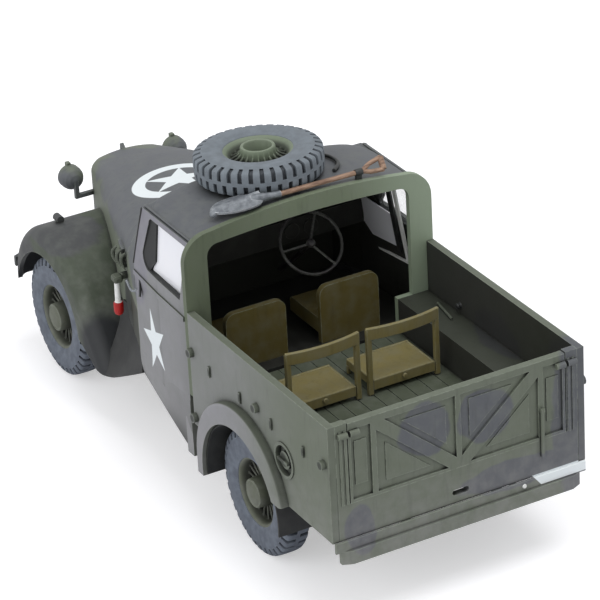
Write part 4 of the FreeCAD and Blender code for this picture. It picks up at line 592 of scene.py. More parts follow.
def enamel(name, colour, worn):
    """A small brushed-on colour that is a little uneven, with painted shade in its hollows."""
    paint = Paint(name)
    cloud = paint.noise(0.8, 3, 0.6)
    mixed = paint.mix(cloud.ramp(0.4, 0.8) * 0.5, colour, worn)
    mixed = paint.mix(paint.hollow(0.5, 0.35, 0.85) * 0.6, mixed, WASH_AND_SHADE)
    paint.feed("Base Color", mixed)
    paint.feed("Roughness", cloud * 0.2 + 0.4)
    return paint.material


clear = plastic("clear", 1.45, (3.0, 3), (tint(226, 232, 232), tint(210, 216, 214)),
                ((0.06, 0.05), (0.1, 0.16)))
# Near-white glass: a painted reflection of the white paper.
paper_white = plastic("paper_white", 1.5, (4.0, 2), (tint(250, 251, 255), tint(240, 242, 250)),
                ((0.05, 0.06), (0.04, 0.93)))
dark_iron = enamel("dark_iron", tint(74, 58, 44), tint(40, 36, 32))
soot_black = enamel("soot", tint(34, 36, 36), tint(62, 66, 66))
white_rod = enamel("white_rod", tint(232, 234, 232), tint(196, 198, 192))
red_tip = enamel("red_tip", tint(172, 14, 10), tint(120, 6, 4))
print("finishes", [m.name for m in bpy.data.materials])

# %% [markdown]
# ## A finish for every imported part
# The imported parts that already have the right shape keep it, and only take a
# finish. Their meshes are loose triangles that point the right way, so nothing
# in them is touched.

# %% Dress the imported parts
FINISH = {"bonnet": bonnet_green, "door_left": door_green, "door_right": dark_door,
          "bed_side_left": side_green, "bed_side_right": side_green, "tailgate": gate_green,
          "rear_sill": sill_green, "rear_bumper": sill_green, "cab_hoop": pale_green,
          "windscreen_glass": clear, "windscreen_frame": cowl_green, "scuttle": cowl_green,
          "cab_floor": cab_shade, "dashboard": cab_shade, "bed_floor": floor_green,
          "chassis_frame": running_gear, "front_axle": running_gear, "rear_axle": running_gear,
          "driveline": running_gear, "exhaust": running_gear, "fuel_tank": running_gear,
          "steering_wheel": steel, "shovel": steel, "width_marker": white_rod,
          "seat_passenger": seat_shade, "seat_driver": seat_shade,
          "rear_seat_left": seat_olive, "rear_seat_right": seat_olive,
          "front_mudguard_left": front_guard, "front_mudguard_right": front_guard,
          "rear_mudguard_left": rear_guard, "rear_mudguard_right": rear_guard}
for name, part in nodes.items():
    finish = FINISH.get(name, body_green)
    if "tyre" in name:
        finish = tyre_grey
    if "rim" in name:
        finish = spare_lit_green if "spare" in name else wheel_green
    part.data.materials.clear()
    part.data.materials.append(finish)
print("dressed", len(nodes))

# %% [markdown]
# ## Meshes from grids
# Most new pieces are one sheet of points, row by row, bent into shape by a
# formula. One function numbers the faces of such a sheet, and one puts arrays
# of points into a mesh, turns the faces outwards, and sets it on its body.
# A shell here is its points and a list of face arrays, one for each number of
# corners, so that nothing is done face by face.

# %% Grid faces and pieces
def surface(x, y, z):
    """x, y and z, each worked out on the same grid or on one line of it, as points."""
    return np.stack(np.broadcast_arrays(x, y, z), -1)


def grid_faces(rows, columns, round_rows=False, round_columns=False):
    """Each face joins a point, the next in its row, and the two above; a round grid meets
    itself."""
    i = np.arange(rows if round_rows else rows - 1)[:, None]
    j = np.arange(columns if round_columns else columns - 1)[None, :]
    above, beside = (i + 1) % rows, (j + 1) % columns
    corners = [i * columns + j, i * columns + beside, above * columns + beside,
               above * columns + j]
    return np.stack(corners, -1).reshape(-1, 4)


def outward(points, faces):
    """The faces turned over where the shell's volume, summed over fans of triangles from its
    middle, comes out below zero."""
    from_middle, volume = points - points.mean(0), 0.0
    for block in faces:
        first, second, third = (from_middle[c] for c in (block[:, :1], block[:, 1:-1],
                                                         block[:, 2:]))
        volume += (first * np.cross(second, third)).sum()
    return points, [block[:, ::-1] for block in faces] if volume < 0 else faces


def gather(shells):
    """Several shells as one: each one's faces count on from the points before it."""
    starts = np.cumsum([0] + [len(points) for points, faces in shells])
    return (np.concatenate([points for points, faces in shells]),
            [block + start for (points, faces), start in zip(shells, starts) for block in faces])


def piece(name, shells, finish, body, replaces=(), sharp=32, deep=None):
    """One object from shells of points in mm, riding on its body."""
    points, faces = gather([outward(*shell) for shell in shells])
    mesh = bpy.data.meshes.new(name)
    corners = [face for block in faces for face in block.tolist()]
    mesh.from_pydata((points * MM).tolist(), [], corners)
    mesh.polygons.foreach_set("use_smooth", [True] * len(mesh.polygons))
    mesh.set_sharp_from_angle(angle=math.radians(sharp))
    mesh.materials.append(finish)
    if deep is not None:
        mesh.attributes.new("deep", "FLOAT", "POINT").data.foreach_set("value", deep)
    made = bpy.data.objects.new(name, mesh)
    scene.collection.objects.link(made)
    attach(made, body)
    if replaces:
        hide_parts(*replaces)
    print(name, len(points), "points")


print("mesh tools ready")

# %% [markdown]
# ## Tyres
# A cross-country tyre has a smooth wall and a tread of blocks, cut by gaps that
# run over the shoulder. It could be one block copied round a circle, but a
# single closed skin has no seams: the section is carried round the axle and
# sinks wherever a gap passes.

# %% Tyre skin
TYRE_LUGS = 36
GAP_PHASES = np.array([0, .155, .21, .29, .345, .5, .655, .71, .79, .845])
GAP_HALF = 0.17               # half a gap's width, as a share of the pitch
GAP_DEPTH, GAP_PINCH = 0.62, 0.16
# Radius, distance from the middle, and how much of the gap's depth reaches there.
TYRE_SECTION = np.array([
    (5.28, 0.9, 0), (5.35, 1.62, 0), (5.5, 1.93, 0), (5.85, 2.08, 0), (6.15, 2.12, 0),
    (6.25, 2.2, 0), (6.9, 2.28, 0), (7.6, 2.3, 0), (8.2, 2.27, 0), (8.62, 2.2, 0),
    (8.78, 2.16, 0.0), (8.88, 2.13, 0.75), (9.2, 2.05, 0.95), (9.6, 1.93, 1),
    (9.88, 1.8, 1), (10.02, 1.6, 1), (10.08, 1.1, 1), (10.1, 0.5, 1),
    (10.1, 0.34, 0.9), (10.1, 0.26, 0)])


def tyre_skin():
    """The section carried round the Y axle. In a gap its radius falls by the gap's depth and
    its width by the pinch; the gaps of the two sides stand half a pitch apart."""
    section = np.concatenate([TYRE_SECTION, TYRE_SECTION[::-1] * (1, -1, 1)])
    side = np.sign(section[:, 1])
    phase = np.tile(GAP_PHASES, TYRE_LUGS)
    turn = (np.arange(TYRE_LUGS).repeat(len(GAP_PHASES)) + phase) * math.tau / TYRE_LUGS
    from_half = np.abs(phase - 0.5)[:, None]
    gap = np.where(side > 0, from_half < GAP_HALF, np.abs(from_half - 0.5) < GAP_HALF)
    depth = gap * section[:, 2]
    radius = section[:, 0] - GAP_DEPTH * depth
    width = section[:, 1] - side * GAP_PINCH * depth
    points = surface(radius * np.cos(turn)[:, None], width, radius * np.sin(turn)[:, None])
    return points.reshape(-1, 3), [grid_faces(*depth.shape, True, True)], depth.ravel()


skin, skin_faces, skin_depth = tyre_skin()
print("tyre skin", len(skin), "points, deepest gap", skin_depth.max() * GAP_DEPTH, "mm")

# %% [markdown]
# ## Five tyres in place
# Four tyres stand on their stub axles and turn with them, and the fifth lies on
# the sloping roof. Moving the mesh's own points puts the place in the mesh, as
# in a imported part, where an object's own place would be lost in the export.

# %% Treads
AXLES, HALF_TRACK, AXLE_HEIGHT = {"front": 39.35, "rear": -28.65}, 18.4, 10.1
HUBS = {f"{end}_{hand}": (side, (x, side * HALF_TRACK, AXLE_HEIGHT))
        for end, x in AXLES.items() for side, hand in HANDS}
SPARE_AT, SPARE_TILT = np.array([-0.35, 1.8, 49.16]), math.radians(3.26)


def standing(points, side, hub):
    """A wheel shape moved to its hub; side -1 turns its outer face to the right."""
    return points * (1, side, 1) + hub


def lying(points):
    """A wheel shape laid flat on the roof, outer face up, and tipped down towards the nose."""
    flat = points[:, [0, 2, 1]] * (1, -1, 1)
    c, s = math.cos(SPARE_TILT), math.sin(SPARE_TILT)
    return flat @ np.array([[c, 0, s], [0, 1, 0], [-s, 0, c]]).T + SPARE_AT


for corner, place in HUBS.items():
    piece(f"tread_{corner}", [(standing(skin, *place), skin_faces)], tyre_grey,
          f"wheel_{corner}", [f"tyre_{corner}"], deep=skin_depth)
piece("tread_spare", [(lying(skin), skin_faces)], spare_lit_grey, "body", ["spare_tyre"],
      deep=skin_depth)

# %% [markdown]
# ## Bars and turned shapes
# Posts, boards, rods and knobs are all one of two things: a section carried
# along a path, or a profile spun round a line. Their edges are eased, because
# a moulded or bent part never has a knife edge, and a small flat ease is what
# catches the light.

# %% Section along a path, profile round a line
def capped(points):
    """Rings of points joined into a tube, with one flat face closing each end."""
    rows, columns = points.shape[:2]
    ring = np.arange(columns)[None, :]
    return points.reshape(-1, 3), [grid_faces(rows, columns, False, True), ring[:, ::-1],
                                   ring + (rows - 1) * columns]


def bar(path, half_side, half_up, ease, lead=(0, 0, 1)):
    """An eased rectangle carried along a path; its tall side follows lead, and the ends
    shrink by the ease."""
    path = np.array(path, float)
    run = unit(np.gradient(path, axis=0))
    side = unit(np.cross(lead, run))
    rise = np.cross(run, side)
    path, run, side, rise = (np.concatenate([v[:1], v, v[-1:]]) for v in (path, run, side, rise))
    path[1] += run[1] * ease
    path[-2] -= run[-2] * ease
    trim = np.zeros(len(path))
    trim[[0, -1]] = ease
    a, b = half_side - trim, half_up - trim
    across = np.stack([a, a, a - ease, ease - a, -a, -a, ease - a, a - ease], 1)
    tall = np.stack([ease - b, b - ease, b, b, b - ease, ease - b, -b, -b], 1)
    return capped(path[:, None] + across[..., None] * side[:, None]
                  + tall[..., None] * rise[:, None])


def circle(x, z, around):
    """Arrows from the middle of a circle whose axis is z, the first of them x."""
    turn = np.arange(around)[:, None] * math.tau / around
    return np.cos(turn) * x + np.sin(turn) * np.cross(z, x)


def turned(profile, at=(0, 0, 0), toward=(0, 0, 1), around=32):
    """A profile of radius and height spun round the line through at; its radius is never 0."""
    radius, height = np.array(profile, float).T[..., None, None]
    z = unit(np.array(toward, float))
    x = unit(np.cross((0, 1, 0) if abs(z[1]) < 0.9 else (1, 0, 0), z))
    return capped(radius * circle(x, z, around) + height * z + np.array(at))


def rod(path, radius, around=12):
    """A round section along a path; the radius may change from point to point."""
    path = np.array(path, float)
    run = unit(np.gradient(path, axis=0))
    guide = (0, 0, 1) if np.abs(run[:, 2]).max() < 0.9 else (0, 1, 0)
    side = unit(np.cross(guide, run))
    ring = circle(side[:, None], run[:, None], around)
    return capped(path[:, None] + ring * np.broadcast_to(radius, len(path))[:, None, None])


def sheet(outer, thick):
    """A bent surface given its wall: the same grid again, set back along its normals, and a
    rim round both."""
    normal = unit(np.cross(np.gradient(outer, axis=0), np.gradient(outer, axis=1)))
    rows, columns = outer.shape[:2]
    ring = np.concatenate([outer, (outer - normal * thick)[:, ::-1]], 1)
    strip = np.arange(columns - 1)
    cap = np.stack([strip, strip + 1, 2 * columns - 2 - strip, 2 * columns - 1 - strip], 1)
    return ring.reshape(-1, 3), [grid_faces(rows, columns * 2, False, True), cap[:, ::-1],
                                 cap + (rows - 1) * columns * 2]


def arc(points, count=24):
    """A smooth path through a few points, by a Catmull-Rom blend of each four neighbours."""
    p = np.array(points, float)
    p = np.concatenate([2 * p[:1] - p[1:2], p, 2 * p[-1:] - p[-2:-1]])
    u = np.linspace(0, len(points) - 1 - 1e-9, count)
    k, t = u.astype(int), (u % 1)[:, None]
    a, b, c, d = p[k], p[k + 1], p[k + 2], p[k + 3]
    return 0.5 * (2 * b + (c - a) * t + (2 * a - 5 * b + 4 * c - d) * t ** 2
                  + (3 * b - a - 3 * c + d) * t ** 3)


print("shape tools ready")

# %% [markdown]
# ## Wheels
# The pressed wheels have a domed cap and a ring of short ribs. A disc with a
# picture of ribs would stay flat when the light moves, so the disc is a grid of
# circles and spokes that rises on each rib. The spare is the same wheel seen
# without its cap: an open hub ring, and ribs that slope down from it.

# %% Ribbed wheels
RIBS = 20
RIB_PHASES = np.array([0, .12, .2, .28, .36, .5, .64, .72, .8, .88])
RIB_HALF, RIB_FLANK = 0.13, 0.08
# Radius, height above the middle, and how far the gap between two ribs sinks.
ROAD_WHEEL = np.array([
    (0.15, 2.6, 0), (1.0, 2.57, 0), (1.6, 2.48, 0), (1.95, 2.3, 0), (2.1, 2.4, 0),
    (2.26, 2.32, 0), (2.34, 2.0, 0), (2.4, 1.2, 0), (2.44, 0.5, 0), (2.52, 0.3, 0.1),
    (2.75, 0.36, 0.9), (3.9, 0.5, 1.3), (4.66, 0.5, 1.0), (4.8, 0.54, 0.1), (4.88, 0.8, 0),
    (4.98, 1.25, 0), (5.14, 1.62, 0), (5.35, 1.8, 0), (5.52, 1.84, 0), (5.6, 1.72, 0),
    (5.55, 1.5, 0), (5.26, 0.9, 0), (5.26, -0.9, 0), (5.55, -1.5, 0), (5.6, -1.8, 0),
    (5.3, -1.84, 0), (4.95, -1.3, 0), (4.7, -1.1, 0), (3.0, -1.0, 0), (0.15, -0.9, 0)])
SPARE_WHEEL = np.array([
    (2.1, 0.1, 0), (2.14, 2.2, 0), (2.24, 2.42, 0), (2.44, 2.5, 0), (2.64, 2.42, 0),
    (2.74, 2.2, 0), (2.78, 1.8, 0.15), (2.9, 1.5, 1.3), (3.4, 1.1, 1.5), (4.2, 0.72, 1.3),
    (4.34, 0.7, 0.15), (4.44, 0.8, 0), (4.62, 1.05, 0), (5.0, 1.5, 0), (5.35, 1.8, 0),
    (5.52, 1.86, 0), (5.62, 1.74, 0), (5.55, 1.5, 0), (5.26, 0.9, 0), (5.26, -0.9, 0),
    (5.55, -1.5, 0), (5.55, -1.75, 0), (5.3, -1.8, 0), (4.95, -1.2, 0), (4.6, -0.9, 0),
    (2.6, -0.95, 0), (2.0, -0.7, 0)])


def ribbed(profile, closed):
    """The profile spun round Y, sinking between ribs; closed joins its last ring to the
    first. The painted shade stored with it is the larger of the gap's depth and the dish's."""
    phase = np.tile(RIB_PHASES, RIBS)
    turn = (np.arange(RIBS).repeat(len(RIB_PHASES)) + phase) * math.tau / RIBS
    radius, height, sink = profile.T[..., None]
    depth = sink * np.clip((np.abs(phase - 0.5) - RIB_HALF) / RIB_FLANK, 0, 1)
    points = surface(radius * np.cos(turn), height - depth, radius * np.sin(turn))
    dish = np.clip((1.4 - height) / 0.4, 0, 0.75) * (height > 0.4)
    deep = np.maximum(np.clip(depth / 0.6, 0, 1), dish).ravel()
    if closed:
        return points.reshape(-1, 3), [grid_faces(*depth.shape, True, True)], deep
    return *capped(points), deep


disc, disc_faces, disc_deep = ribbed(ROAD_WHEEL, False)
for corner, place in HUBS.items():
    piece(f"wheel_{corner}", [(standing(disc, *place), disc_faces)], wheel_green,
          f"wheel_{corner}", [f"rim_{corner}"], deep=disc_deep, sharp=40)
disc, disc_faces, disc_deep = ribbed(SPARE_WHEEL, True)
piece("wheel_spare", [(lying(disc), disc_faces)], spare_lit_green, "body", ["spare_rim"],
      deep=disc_deep, sharp=40)
bolt, bolt_faces = turned([(0.1, 1.0), (0.45, 0.98), (0.5, 0.85), (0.5, 0.3), (1.1, 0.2),
                           (1.2, 0.0), (1.2, -1.6), (0.1, -1.6)], toward=(0, 1, 0), around=12)
piece("spare_bolt", [(lying(bolt), bolt_faces)], dark_iron, "body")

# %% [markdown]
# ## Roof
# The roof is one pressed sheet: nearly flat in the middle, rolling over at both
# sides into a drip rail. A flattened oval formula gives that roll without a
# seam, where a box with rounded edges would show a hard line along it.

# %% Roof sheet and drip rails
ROOF_REAR, ROOF_FRONT, ROOF_HALF = -11.2, 5.0, 19.2
DRIP_LINE, CROWN, CROWN_FALL = 44.26, 47.38, 0.045


def roof_sheet():
    """Height over the drip line is the crown's rise times (1 - s^2.4 - 0.2 f^4)^0.75: s grows
    to the side, f to the front."""
    x = np.linspace(ROOF_REAR, ROOF_FRONT, 29)[:, None]
    s = np.sin(np.linspace(-1, 1, 81) * math.pi / 2)[None, :]
    f = np.clip((x + 3) / 8.0, 0, 1)
    rise = CROWN - CROWN_FALL * (x + 11.25) - DRIP_LINE
    share = np.clip(1 - np.abs(s) ** 2.4 - 0.2 * f ** 4, 0.0004, 1) ** 0.75
    return surface(x, ROOF_HALF * s, DRIP_LINE + rise * share)


rails = [bar([(ROOF_REAR, y, 44.4), (-4, y, 44.4), (4.4, y, 44.35)], 0.2, 0.13, 0.05)
         for y in (-19.25, 19.25)]
piece("roof_sheet", [sheet(roof_sheet(), 0.45), *rails], body_green, "body",
      ["cab_roof"], sharp=50)

# %% [markdown]
# ## Door windows
# The left window's pane is nearly white, a painted reflection of the white paper,
# and painted shade in its reveal and on its sill, with a seam, frame it. The right
# one is seen from inside, through the hoop: its clear pane shows the white paper
# above a white card that stands in for more of the bright paper, painted glints
# along the edges of the clear part, and a dark frame. All of them are flat
# outlines between two planes. A bevelled cube could do each, but an outline gives
# the sloping corners directly.

# %% Panes, painted shade and glints, and the right window's inner side
LEAN, LEAN_FROM = 0.118, 34.0
PANE = [(-10.0, 34.3), (1.2, 34.3), (1.2, 43.9), (-10.0, 43.9)]
# Painted shade in the left window's reveal, in front of the pane.
REVEAL_SHADE = [(0.0, 36.9), (1.0, 35.6), (1.5, 34.6), (5.2, 34.6), (5.2, 36.4), (2.2, 43.6),
          (0.2, 43.6)]
SILL_BAR = [(-9.6, 20.98, 34.9), (-1.95, 20.76, 34.9), (1.7, 20.5, 34.9)]
DOOR_SEAM = [(7.37, 20.6, 33.8), (6.0, 20.22, 39.0), (4.62, 19.82, 44.1)]
# A white card that stands in for the bright paper seen through the right window.
PAPER_VIEW = [(-4.2, 29.6), (6.4, 28.0), (6.4, 34.8), (-3.7, 35.2)]
# Painted glints along the edges of the right window's clear part.
EDGE_GLINT = [(-7.5, 28.0), (-6.7, 27.8), (-5.3, 40.6), (-6.3, 40.6)]
LOWER_GLINT = [(-7.4, 27.7), (6.6, 25.8), (6.6, 26.1), (-7.4, 28.1)]
INNER_FRAME = [(-5.3, 29.0), (-4.2, 29.0), (-3.2, 40.6), (-4.6, 40.6)]


def flat_plate(outline, near, far):
    """A flat outline in x and z between two planes of y, which lean in by the lean times the
    height over its start."""
    x, z = np.array(outline, float).T
    lean = (z - LEAN_FROM) * LEAN
    return capped(np.stack([surface(x, y - lean * np.sign(y), z) for y in (near, far)]))


for side, hand in HANDS:
    # The left pane's near-white colour is a painted reflection of the white paper.
    piece(f"pane_{hand}", [flat_plate(PANE, side * 20.4, side * 20.15)],
          paper_white if side > 0 else clear, "body")
    # Painted shade in the reveal and on the sill, and the door's dark seam.
    edge = [flat_plate(REVEAL_SHADE, side * 20.75, side * 20.2),
            bar(np.array(SILL_BAR) * (1, side, 1), 0.4, 0.12, 0.03),
            rod(np.array(DOOR_SEAM) * (1, side, 1), 0.17, 8)]
    piece(f"shade_and_seam_{hand}", edge, shade_green, "body")
# A stand-in for the bright paper seen through the right window.
piece("paper_view_right", [flat_plate(PAPER_VIEW, -19.5, -19.3)], paper_white, "body")
# Painted glints on the edges of the right window's clear part.
piece("glint_right", [flat_plate(EDGE_GLINT, -19.5, -19.2), flat_plate(LOWER_GLINT, -19.5, -19.2)],
      white_rod, "body")
piece("frame_right", [flat_plate(INNER_FRAME, -19.5, -19.15)], soot_black, "body")

# %% [markdown]
# ## Rear seats
# Each folding seat has a bowed back rail on two posts, and a board with a lip
# on all four sides. The rail is a bar carried along a shallow curve; the board
# is a grid that dips a little in the middle, as a pressed seat does.

# %% Two folding seats
BACK_X, SEAT_REAR, SEAT_FRONT = -27.1, -27.3, -19.0
RAIL_Z, SEAT_Z, BED_Z = 29.9, 21.95, 19.42
RAIL_BOW, SEAT_DIP = 0.85, 0.3


def seat_board(low, high):
    """A board whose top dips by the product of two half circles, and falls off at its edges
    by the fourteenth power of the way out."""
    x = np.linspace(SEAT_REAR, SEAT_FRONT, 21)[:, None]
    y = np.linspace(low, high, 25)[None, :]
    s, t = (x + 23.1) / 4.15, (y - (low + high) / 2) / ((high - low) / 2)
    dip = SEAT_DIP * np.sqrt(np.clip(1 - s ** 2, 0, 1)) * np.sqrt(np.clip(1 - t ** 2, 0, 1))
    ease = 0.25 * (np.abs(s) ** 14 + np.abs(t) ** 14)
    return surface(x, y, SEAT_Z - dip - ease)


def folding_seat(low, high):
    """The shells of one seat between two values of y: rail, posts, board, lips, legs, button."""
    y = np.linspace(low, high, 17)
    bow = BACK_X - RAIL_BOW * (1 - ((y - low) / (high - low) * 2 - 1) ** 2)
    shells = [bar(surface(bow, y, RAIL_Z), 0.3, 1.0, 0.12),
              sheet(seat_board(low + 0.9, high - 0.9), 0.5),
              turned([(0.1, 0.42), (0.35, 0.4), (0.42, 0.3), (0.42, 0), (0.1, 0)],
                     (SEAT_REAR, (low + high) / 2, 21.1), (-1, 0, 0), 12)]
    for x in (-27.15, -19.15):
        shells.append(bar([(x, low + 0.9, 21.0), (x, high - 0.9, 21.0)], 0.18, 0.85, 0.08))
    for end, inward in ((low, 1), (high, -1)):
        post, lip = end + inward * 0.45, end + inward * 1.05
        shells += [bar([(BACK_X, post, 19.45), (BACK_X, post, 25), (BACK_X, post, 30.6)],
                       0.42, 0.38, 0.1, (1, 0, 0)),
                   bar([(-27.1, lip, 21.1), (-19.2, lip, 21.1)], 0.15, 0.7, 0.08),
                   bar([(-19.4, lip, BED_Z), (-19.4, lip, 20.8)], 0.25, 0.25, 0.05, (1, 0, 0))]
    return shells


for side, hand in HANDS:
    piece(f"bench_{hand}", folding_seat(*sorted((side * 0.6, side * 13.3))), seat_olive,
          "body", [f"rear_seat_{hand}"])

# %% [markdown]
# ## Steering wheel
# A thin rim, three spokes and a small boss on a sloping column. The rim is a
# rod whose path is a circle, closed on itself, so that no joint shows.

# %% Steering wheel
HELM, COLUMN_FOOT = np.array([1.0, -7.2, 31.7]), np.array([13.3, -8.0, 21.6])
RIM_RADIUS, SPOKE_TURNS = 5.1, (0.5, 2.6, 4.7)
column = unit(COLUMN_FOOT - HELM)


def ring_tube(at, x, z, radius, thick, around=60, sides=10):
    """Every point of a circle round the axis z carries a smaller circle."""
    out = circle(x, z, around)[:, None]
    v = np.arange(sides)[None, :, None] * math.tau / sides
    points = at + (radius + thick * np.cos(v)) * out + thick * np.sin(v) * z
    return points.reshape(-1, 3), [grid_faces(around, sides, True, True)]


spoke_x = unit(np.cross(column, (0, 1, 0)))
spoke_y = np.cross(column, spoke_x)
helm = [ring_tube(HELM, spoke_x, column, RIM_RADIUS, 0.27)]
for turn in SPOKE_TURNS:
    tip = HELM + 5.0 * (math.cos(turn) * spoke_x + math.sin(turn) * spoke_y)
    helm.append(rod(np.linspace(HELM + column * 0.4, tip, 5), (0.26, 0.22, 0.2, 0.18, 0.2), 8))
helm.append(turned([(0.1, -0.45), (0.5, -0.4), (0.75, -0.1), (0.7, 0.3), (0.36, 0.6),
                    (0.34, 16.0), (0.1, 16.0)], HELM, column, 20))
piece("helm", helm, helm_black, "body", ["steering_wheel"])

# %% [markdown]
# ## Shovel
# A round-point shovel lies across the roof. Its blade is a leaf whose width
# swells and closes again, domed across, with a raised socket running into it;
# the shaft is wood, and the grip is a small D with a cross bar. A sculpted
# blade would look as good, but the formula keeps its two halves alike.

# %% Shovel blade, shaft and grip
SHAFT_X, BLADE_LENGTH, BLADE_HALF = -10.98, 7.6, 3.9


def blade():
    """Half the width is 3.9 t^0.3 (1 - t)^0.4 along the blade. Across it the crown falls with
    the square, a bell-shaped ridge stands in the middle and the rim curls up."""
    t = (1 - np.cos(np.linspace(0.04, 1, 30) * math.pi)) / 2
    # The clip can double a row, and a doubled row has no normal for its wall, so one is kept.
    t = np.unique(np.clip(t, 0.01, 0.992))[:, None]
    s = np.linspace(-1, 1, 21)[None, :]
    half = BLADE_HALF * t ** 0.3 * (1 - t) ** 0.4
    ridge = 0.42 * np.exp(-(s / 0.2) ** 2) * (1 - t) ** 0.7
    z = 48.6 - 0.85 * t - 0.95 * s ** 2 * (1 - 0.4 * t) + ridge + 0.25 * np.abs(s) ** 8
    return surface(-9.95 + 0.85 * t + half * s, 7.0 + BLADE_LENGTH * t, z)


point = turned([(0.1, 0.62), (0.45, 0.55), (0.72, 0.3), (0.8, 0.0), (0.72, -0.25), (0.1, -0.4)],
               (-9.2, 14.4, 47.3), (0.15, 0.75, 0.65), 18)
swell = np.array([.05, .2, .25, .22, .16, .1, .06, .03, .03, .06])
socket = rod(arc([(-10.2, 8.6, 48.35), (-10.8, 6.6, 48.45), (SHAFT_X, 4.0, 48.3)], 10),
             np.linspace(0.5, 0.46, 10) + swell, 14)
piece("shovel_iron", [sheet(blade(), 0.28), point, socket], steel, "body", ["shovel"])
band = turned([(0.1, 0), (0.52, 0), (0.58, 0.15), (0.58, 1.1), (0.52, 1.25), (0.1, 1.25)],
              (SHAFT_X, -9.0, 48.1), (0, -1, 0), 16)
foot = bar([(SHAFT_X, -9.6, 46.6), (SHAFT_X, -9.6, 48.1)], 0.5, 0.3, 0.08, (1, 0, 0))
piece("shovel_clip", [band, foot], soot_black, "body")
shaft = rod([(SHAFT_X, y, 48.3 - 0.012 * (7 - y)) for y in (4.4, 0.0, -4.5, -9.6)], 0.4, 16)
fork, ends = (SHAFT_X, -10.2, 48.1), [(-11.65, -13.7, 47.75), (-10.25, -13.9, 49.2)]
grip = [rod([fork, (-11.4, -11.6, 47.8), ends[0]], 0.36),
        rod([fork, (-10.5, -11.7, 48.7), ends[1]], 0.36), rod(ends, 0.5)]
piece("shovel_wood", [shaft, *grip], ash, "body")

# %% [markdown]
# ## Width marker and door handles
# A white rod with a red tip hangs from a small bracket, and shows from the cab
# where the front corner is. It is turned in two colours, as two pieces, since
# the join between the paints is also a step in the real one. The door handles
# are bent rods on a round boss, the plainest way to a cast lever this small.

# %% Width marker and door handles
MARKER = (16.1, 19.75, 0)
stick = turned([(0.1, 26.6), (0.42, 26.6), (0.5, 23.0), (0.6, 22.9), (0.1, 22.85)], MARKER,
               around=20)
red = turned([(0.1, 22.9), (0.72, 22.85), (0.8, 22.6), (0.8, 21.3), (0.66, 20.85),
              (0.35, 20.6), (0.1, 20.55)], MARKER, around=20)
block = [bar([(15.3, 19.7, 26.9), (17.0, 19.6, 27.1)], 0.75, 0.6, 0.25),
         bar([(16.2, 19.0, 27.2), (16.2, 16.6, 27.0)], 0.5, 0.5, 0.15)]
piece("marker_stick", [stick], white_rod, "body", ["width_marker"])
piece("marker_tip", [red], red_tip, "body")
piece("marker_bracket", block, fittings, "body")
for side, hand in HANDS:
    lever = arc([(5.9, side * 21.2, 29.7), (6.6, side * 21.75, 29.6), (9.0, side * 21.3, 30.1)],
                10)
    boss = turned([(0.1, 0.6), (0.42, 0.55), (0.42, 0), (0.1, 0)], (5.9, side * 20.7, 29.7),
                  (0, side, 0), 12)
    piece(f"door_handle_{hand}", [rod(lever, 0.2, 8), boss], steel, "body")

# %% [markdown]
# ## Wheel arches, aprons and the doors' lower edge
# Thin sheet closes what would be open daylight: a dark arch over each rear
# wheel, an apron behind each front wing, and the turned-in foot of each door.
# Flat plates would do in the dark, but their edges show, so each is a curved
# sheet with its formula. A left sheet runs backwards along x, because only
# then does its wall lie on the inner side.

# %% Sheet metal between the main parts
ARCH_AT, ARCH_RADIUS, ARCH_OUT, ARCH_IN = (-28.46, 10.1), 11.3, 22.5, 15.5
ARCH_SWEEP = np.radians(np.linspace(-8, 188, 41))[:, None]
DOOR_FRONT, DOOR_REAR, SKIRT_TOP = 7.3, -11.2, 19.2
APRON_LENGTH, APRON_TOP = 13.5, 20.4


def wheel_arch(side):
    """One radius round the hub, carried from the mudguard in to the bed's box."""
    (x, z), y = ARCH_AT, np.linspace(ARCH_OUT, ARCH_IN, 5)[None, :]
    return surface(x + ARCH_RADIUS * np.cos(ARCH_SWEEP), side * y,
                   z + ARCH_RADIUS * np.sin(ARCH_SWEEP))


def arch_wall(side):
    """The arch's inner end: rings from the axle out to the arch."""
    r = np.linspace(3.0, 11.4, 4)[None, :]
    return surface(AXLES["rear"] + r * np.cos(ARCH_SWEEP), side * 15.4,
                   AXLE_HEIGHT + r * np.sin(ARCH_SWEEP))


def wing_apron(side):
    """From the door to the wing's tail; it stands out at its foot and draws in to the cowl,
    by the height to the power 1.5."""
    u = np.linspace(0, 1, 17)[::-side, None]
    v = np.linspace(0, 1, 17)[None, :]
    low = 14.3 - 5.4 * np.clip(u / 0.8, 0, 1)
    foot = 20.75 + 0.75 * np.sin(math.pi * u * 0.5)
    head = 20.3 - 3.4 * np.clip(u * 1.6, 0, 1)
    return surface(7.2 + APRON_LENGTH * u, side * (head + (foot - head) * (1 - v) ** 1.5),
                   low + (APRON_TOP - low) * v)


def door_skirt(side):
    """The door's lower edge: it follows the door's bow down and tucks in by the cube of the
    drop."""
    x = np.linspace(DOOR_FRONT, DOOR_REAR, 21)[::-side, None]
    v = np.linspace(0, 1, 11)[None, :]
    low = 14.5 + (x - DOOR_FRONT) * 0.33
    back = 7.35 - x
    bow = 20.52 + 0.0755 * back - 0.00117 * back ** 2
    return surface(x, side * (bow + 0.16 * np.clip(8 * v, 0, 1) - 0.3 * v ** 3),
                   SKIRT_TOP + (low - SKIRT_TOP) * v)


for side, hand in HANDS:
    arch = [sheet(wheel_arch(side), 0.25), sheet(arch_wall(side), 0.25)]
    piece(f"wheel_arch_{hand}", arch, shade_green, "body")
    piece(f"wing_apron_{hand}", [sheet(wing_apron(side), 0.4)], shade_green, "body")
    piece(f"door_skirt_{hand}", [sheet(door_skirt(side), 0.4)], door_green, "body")

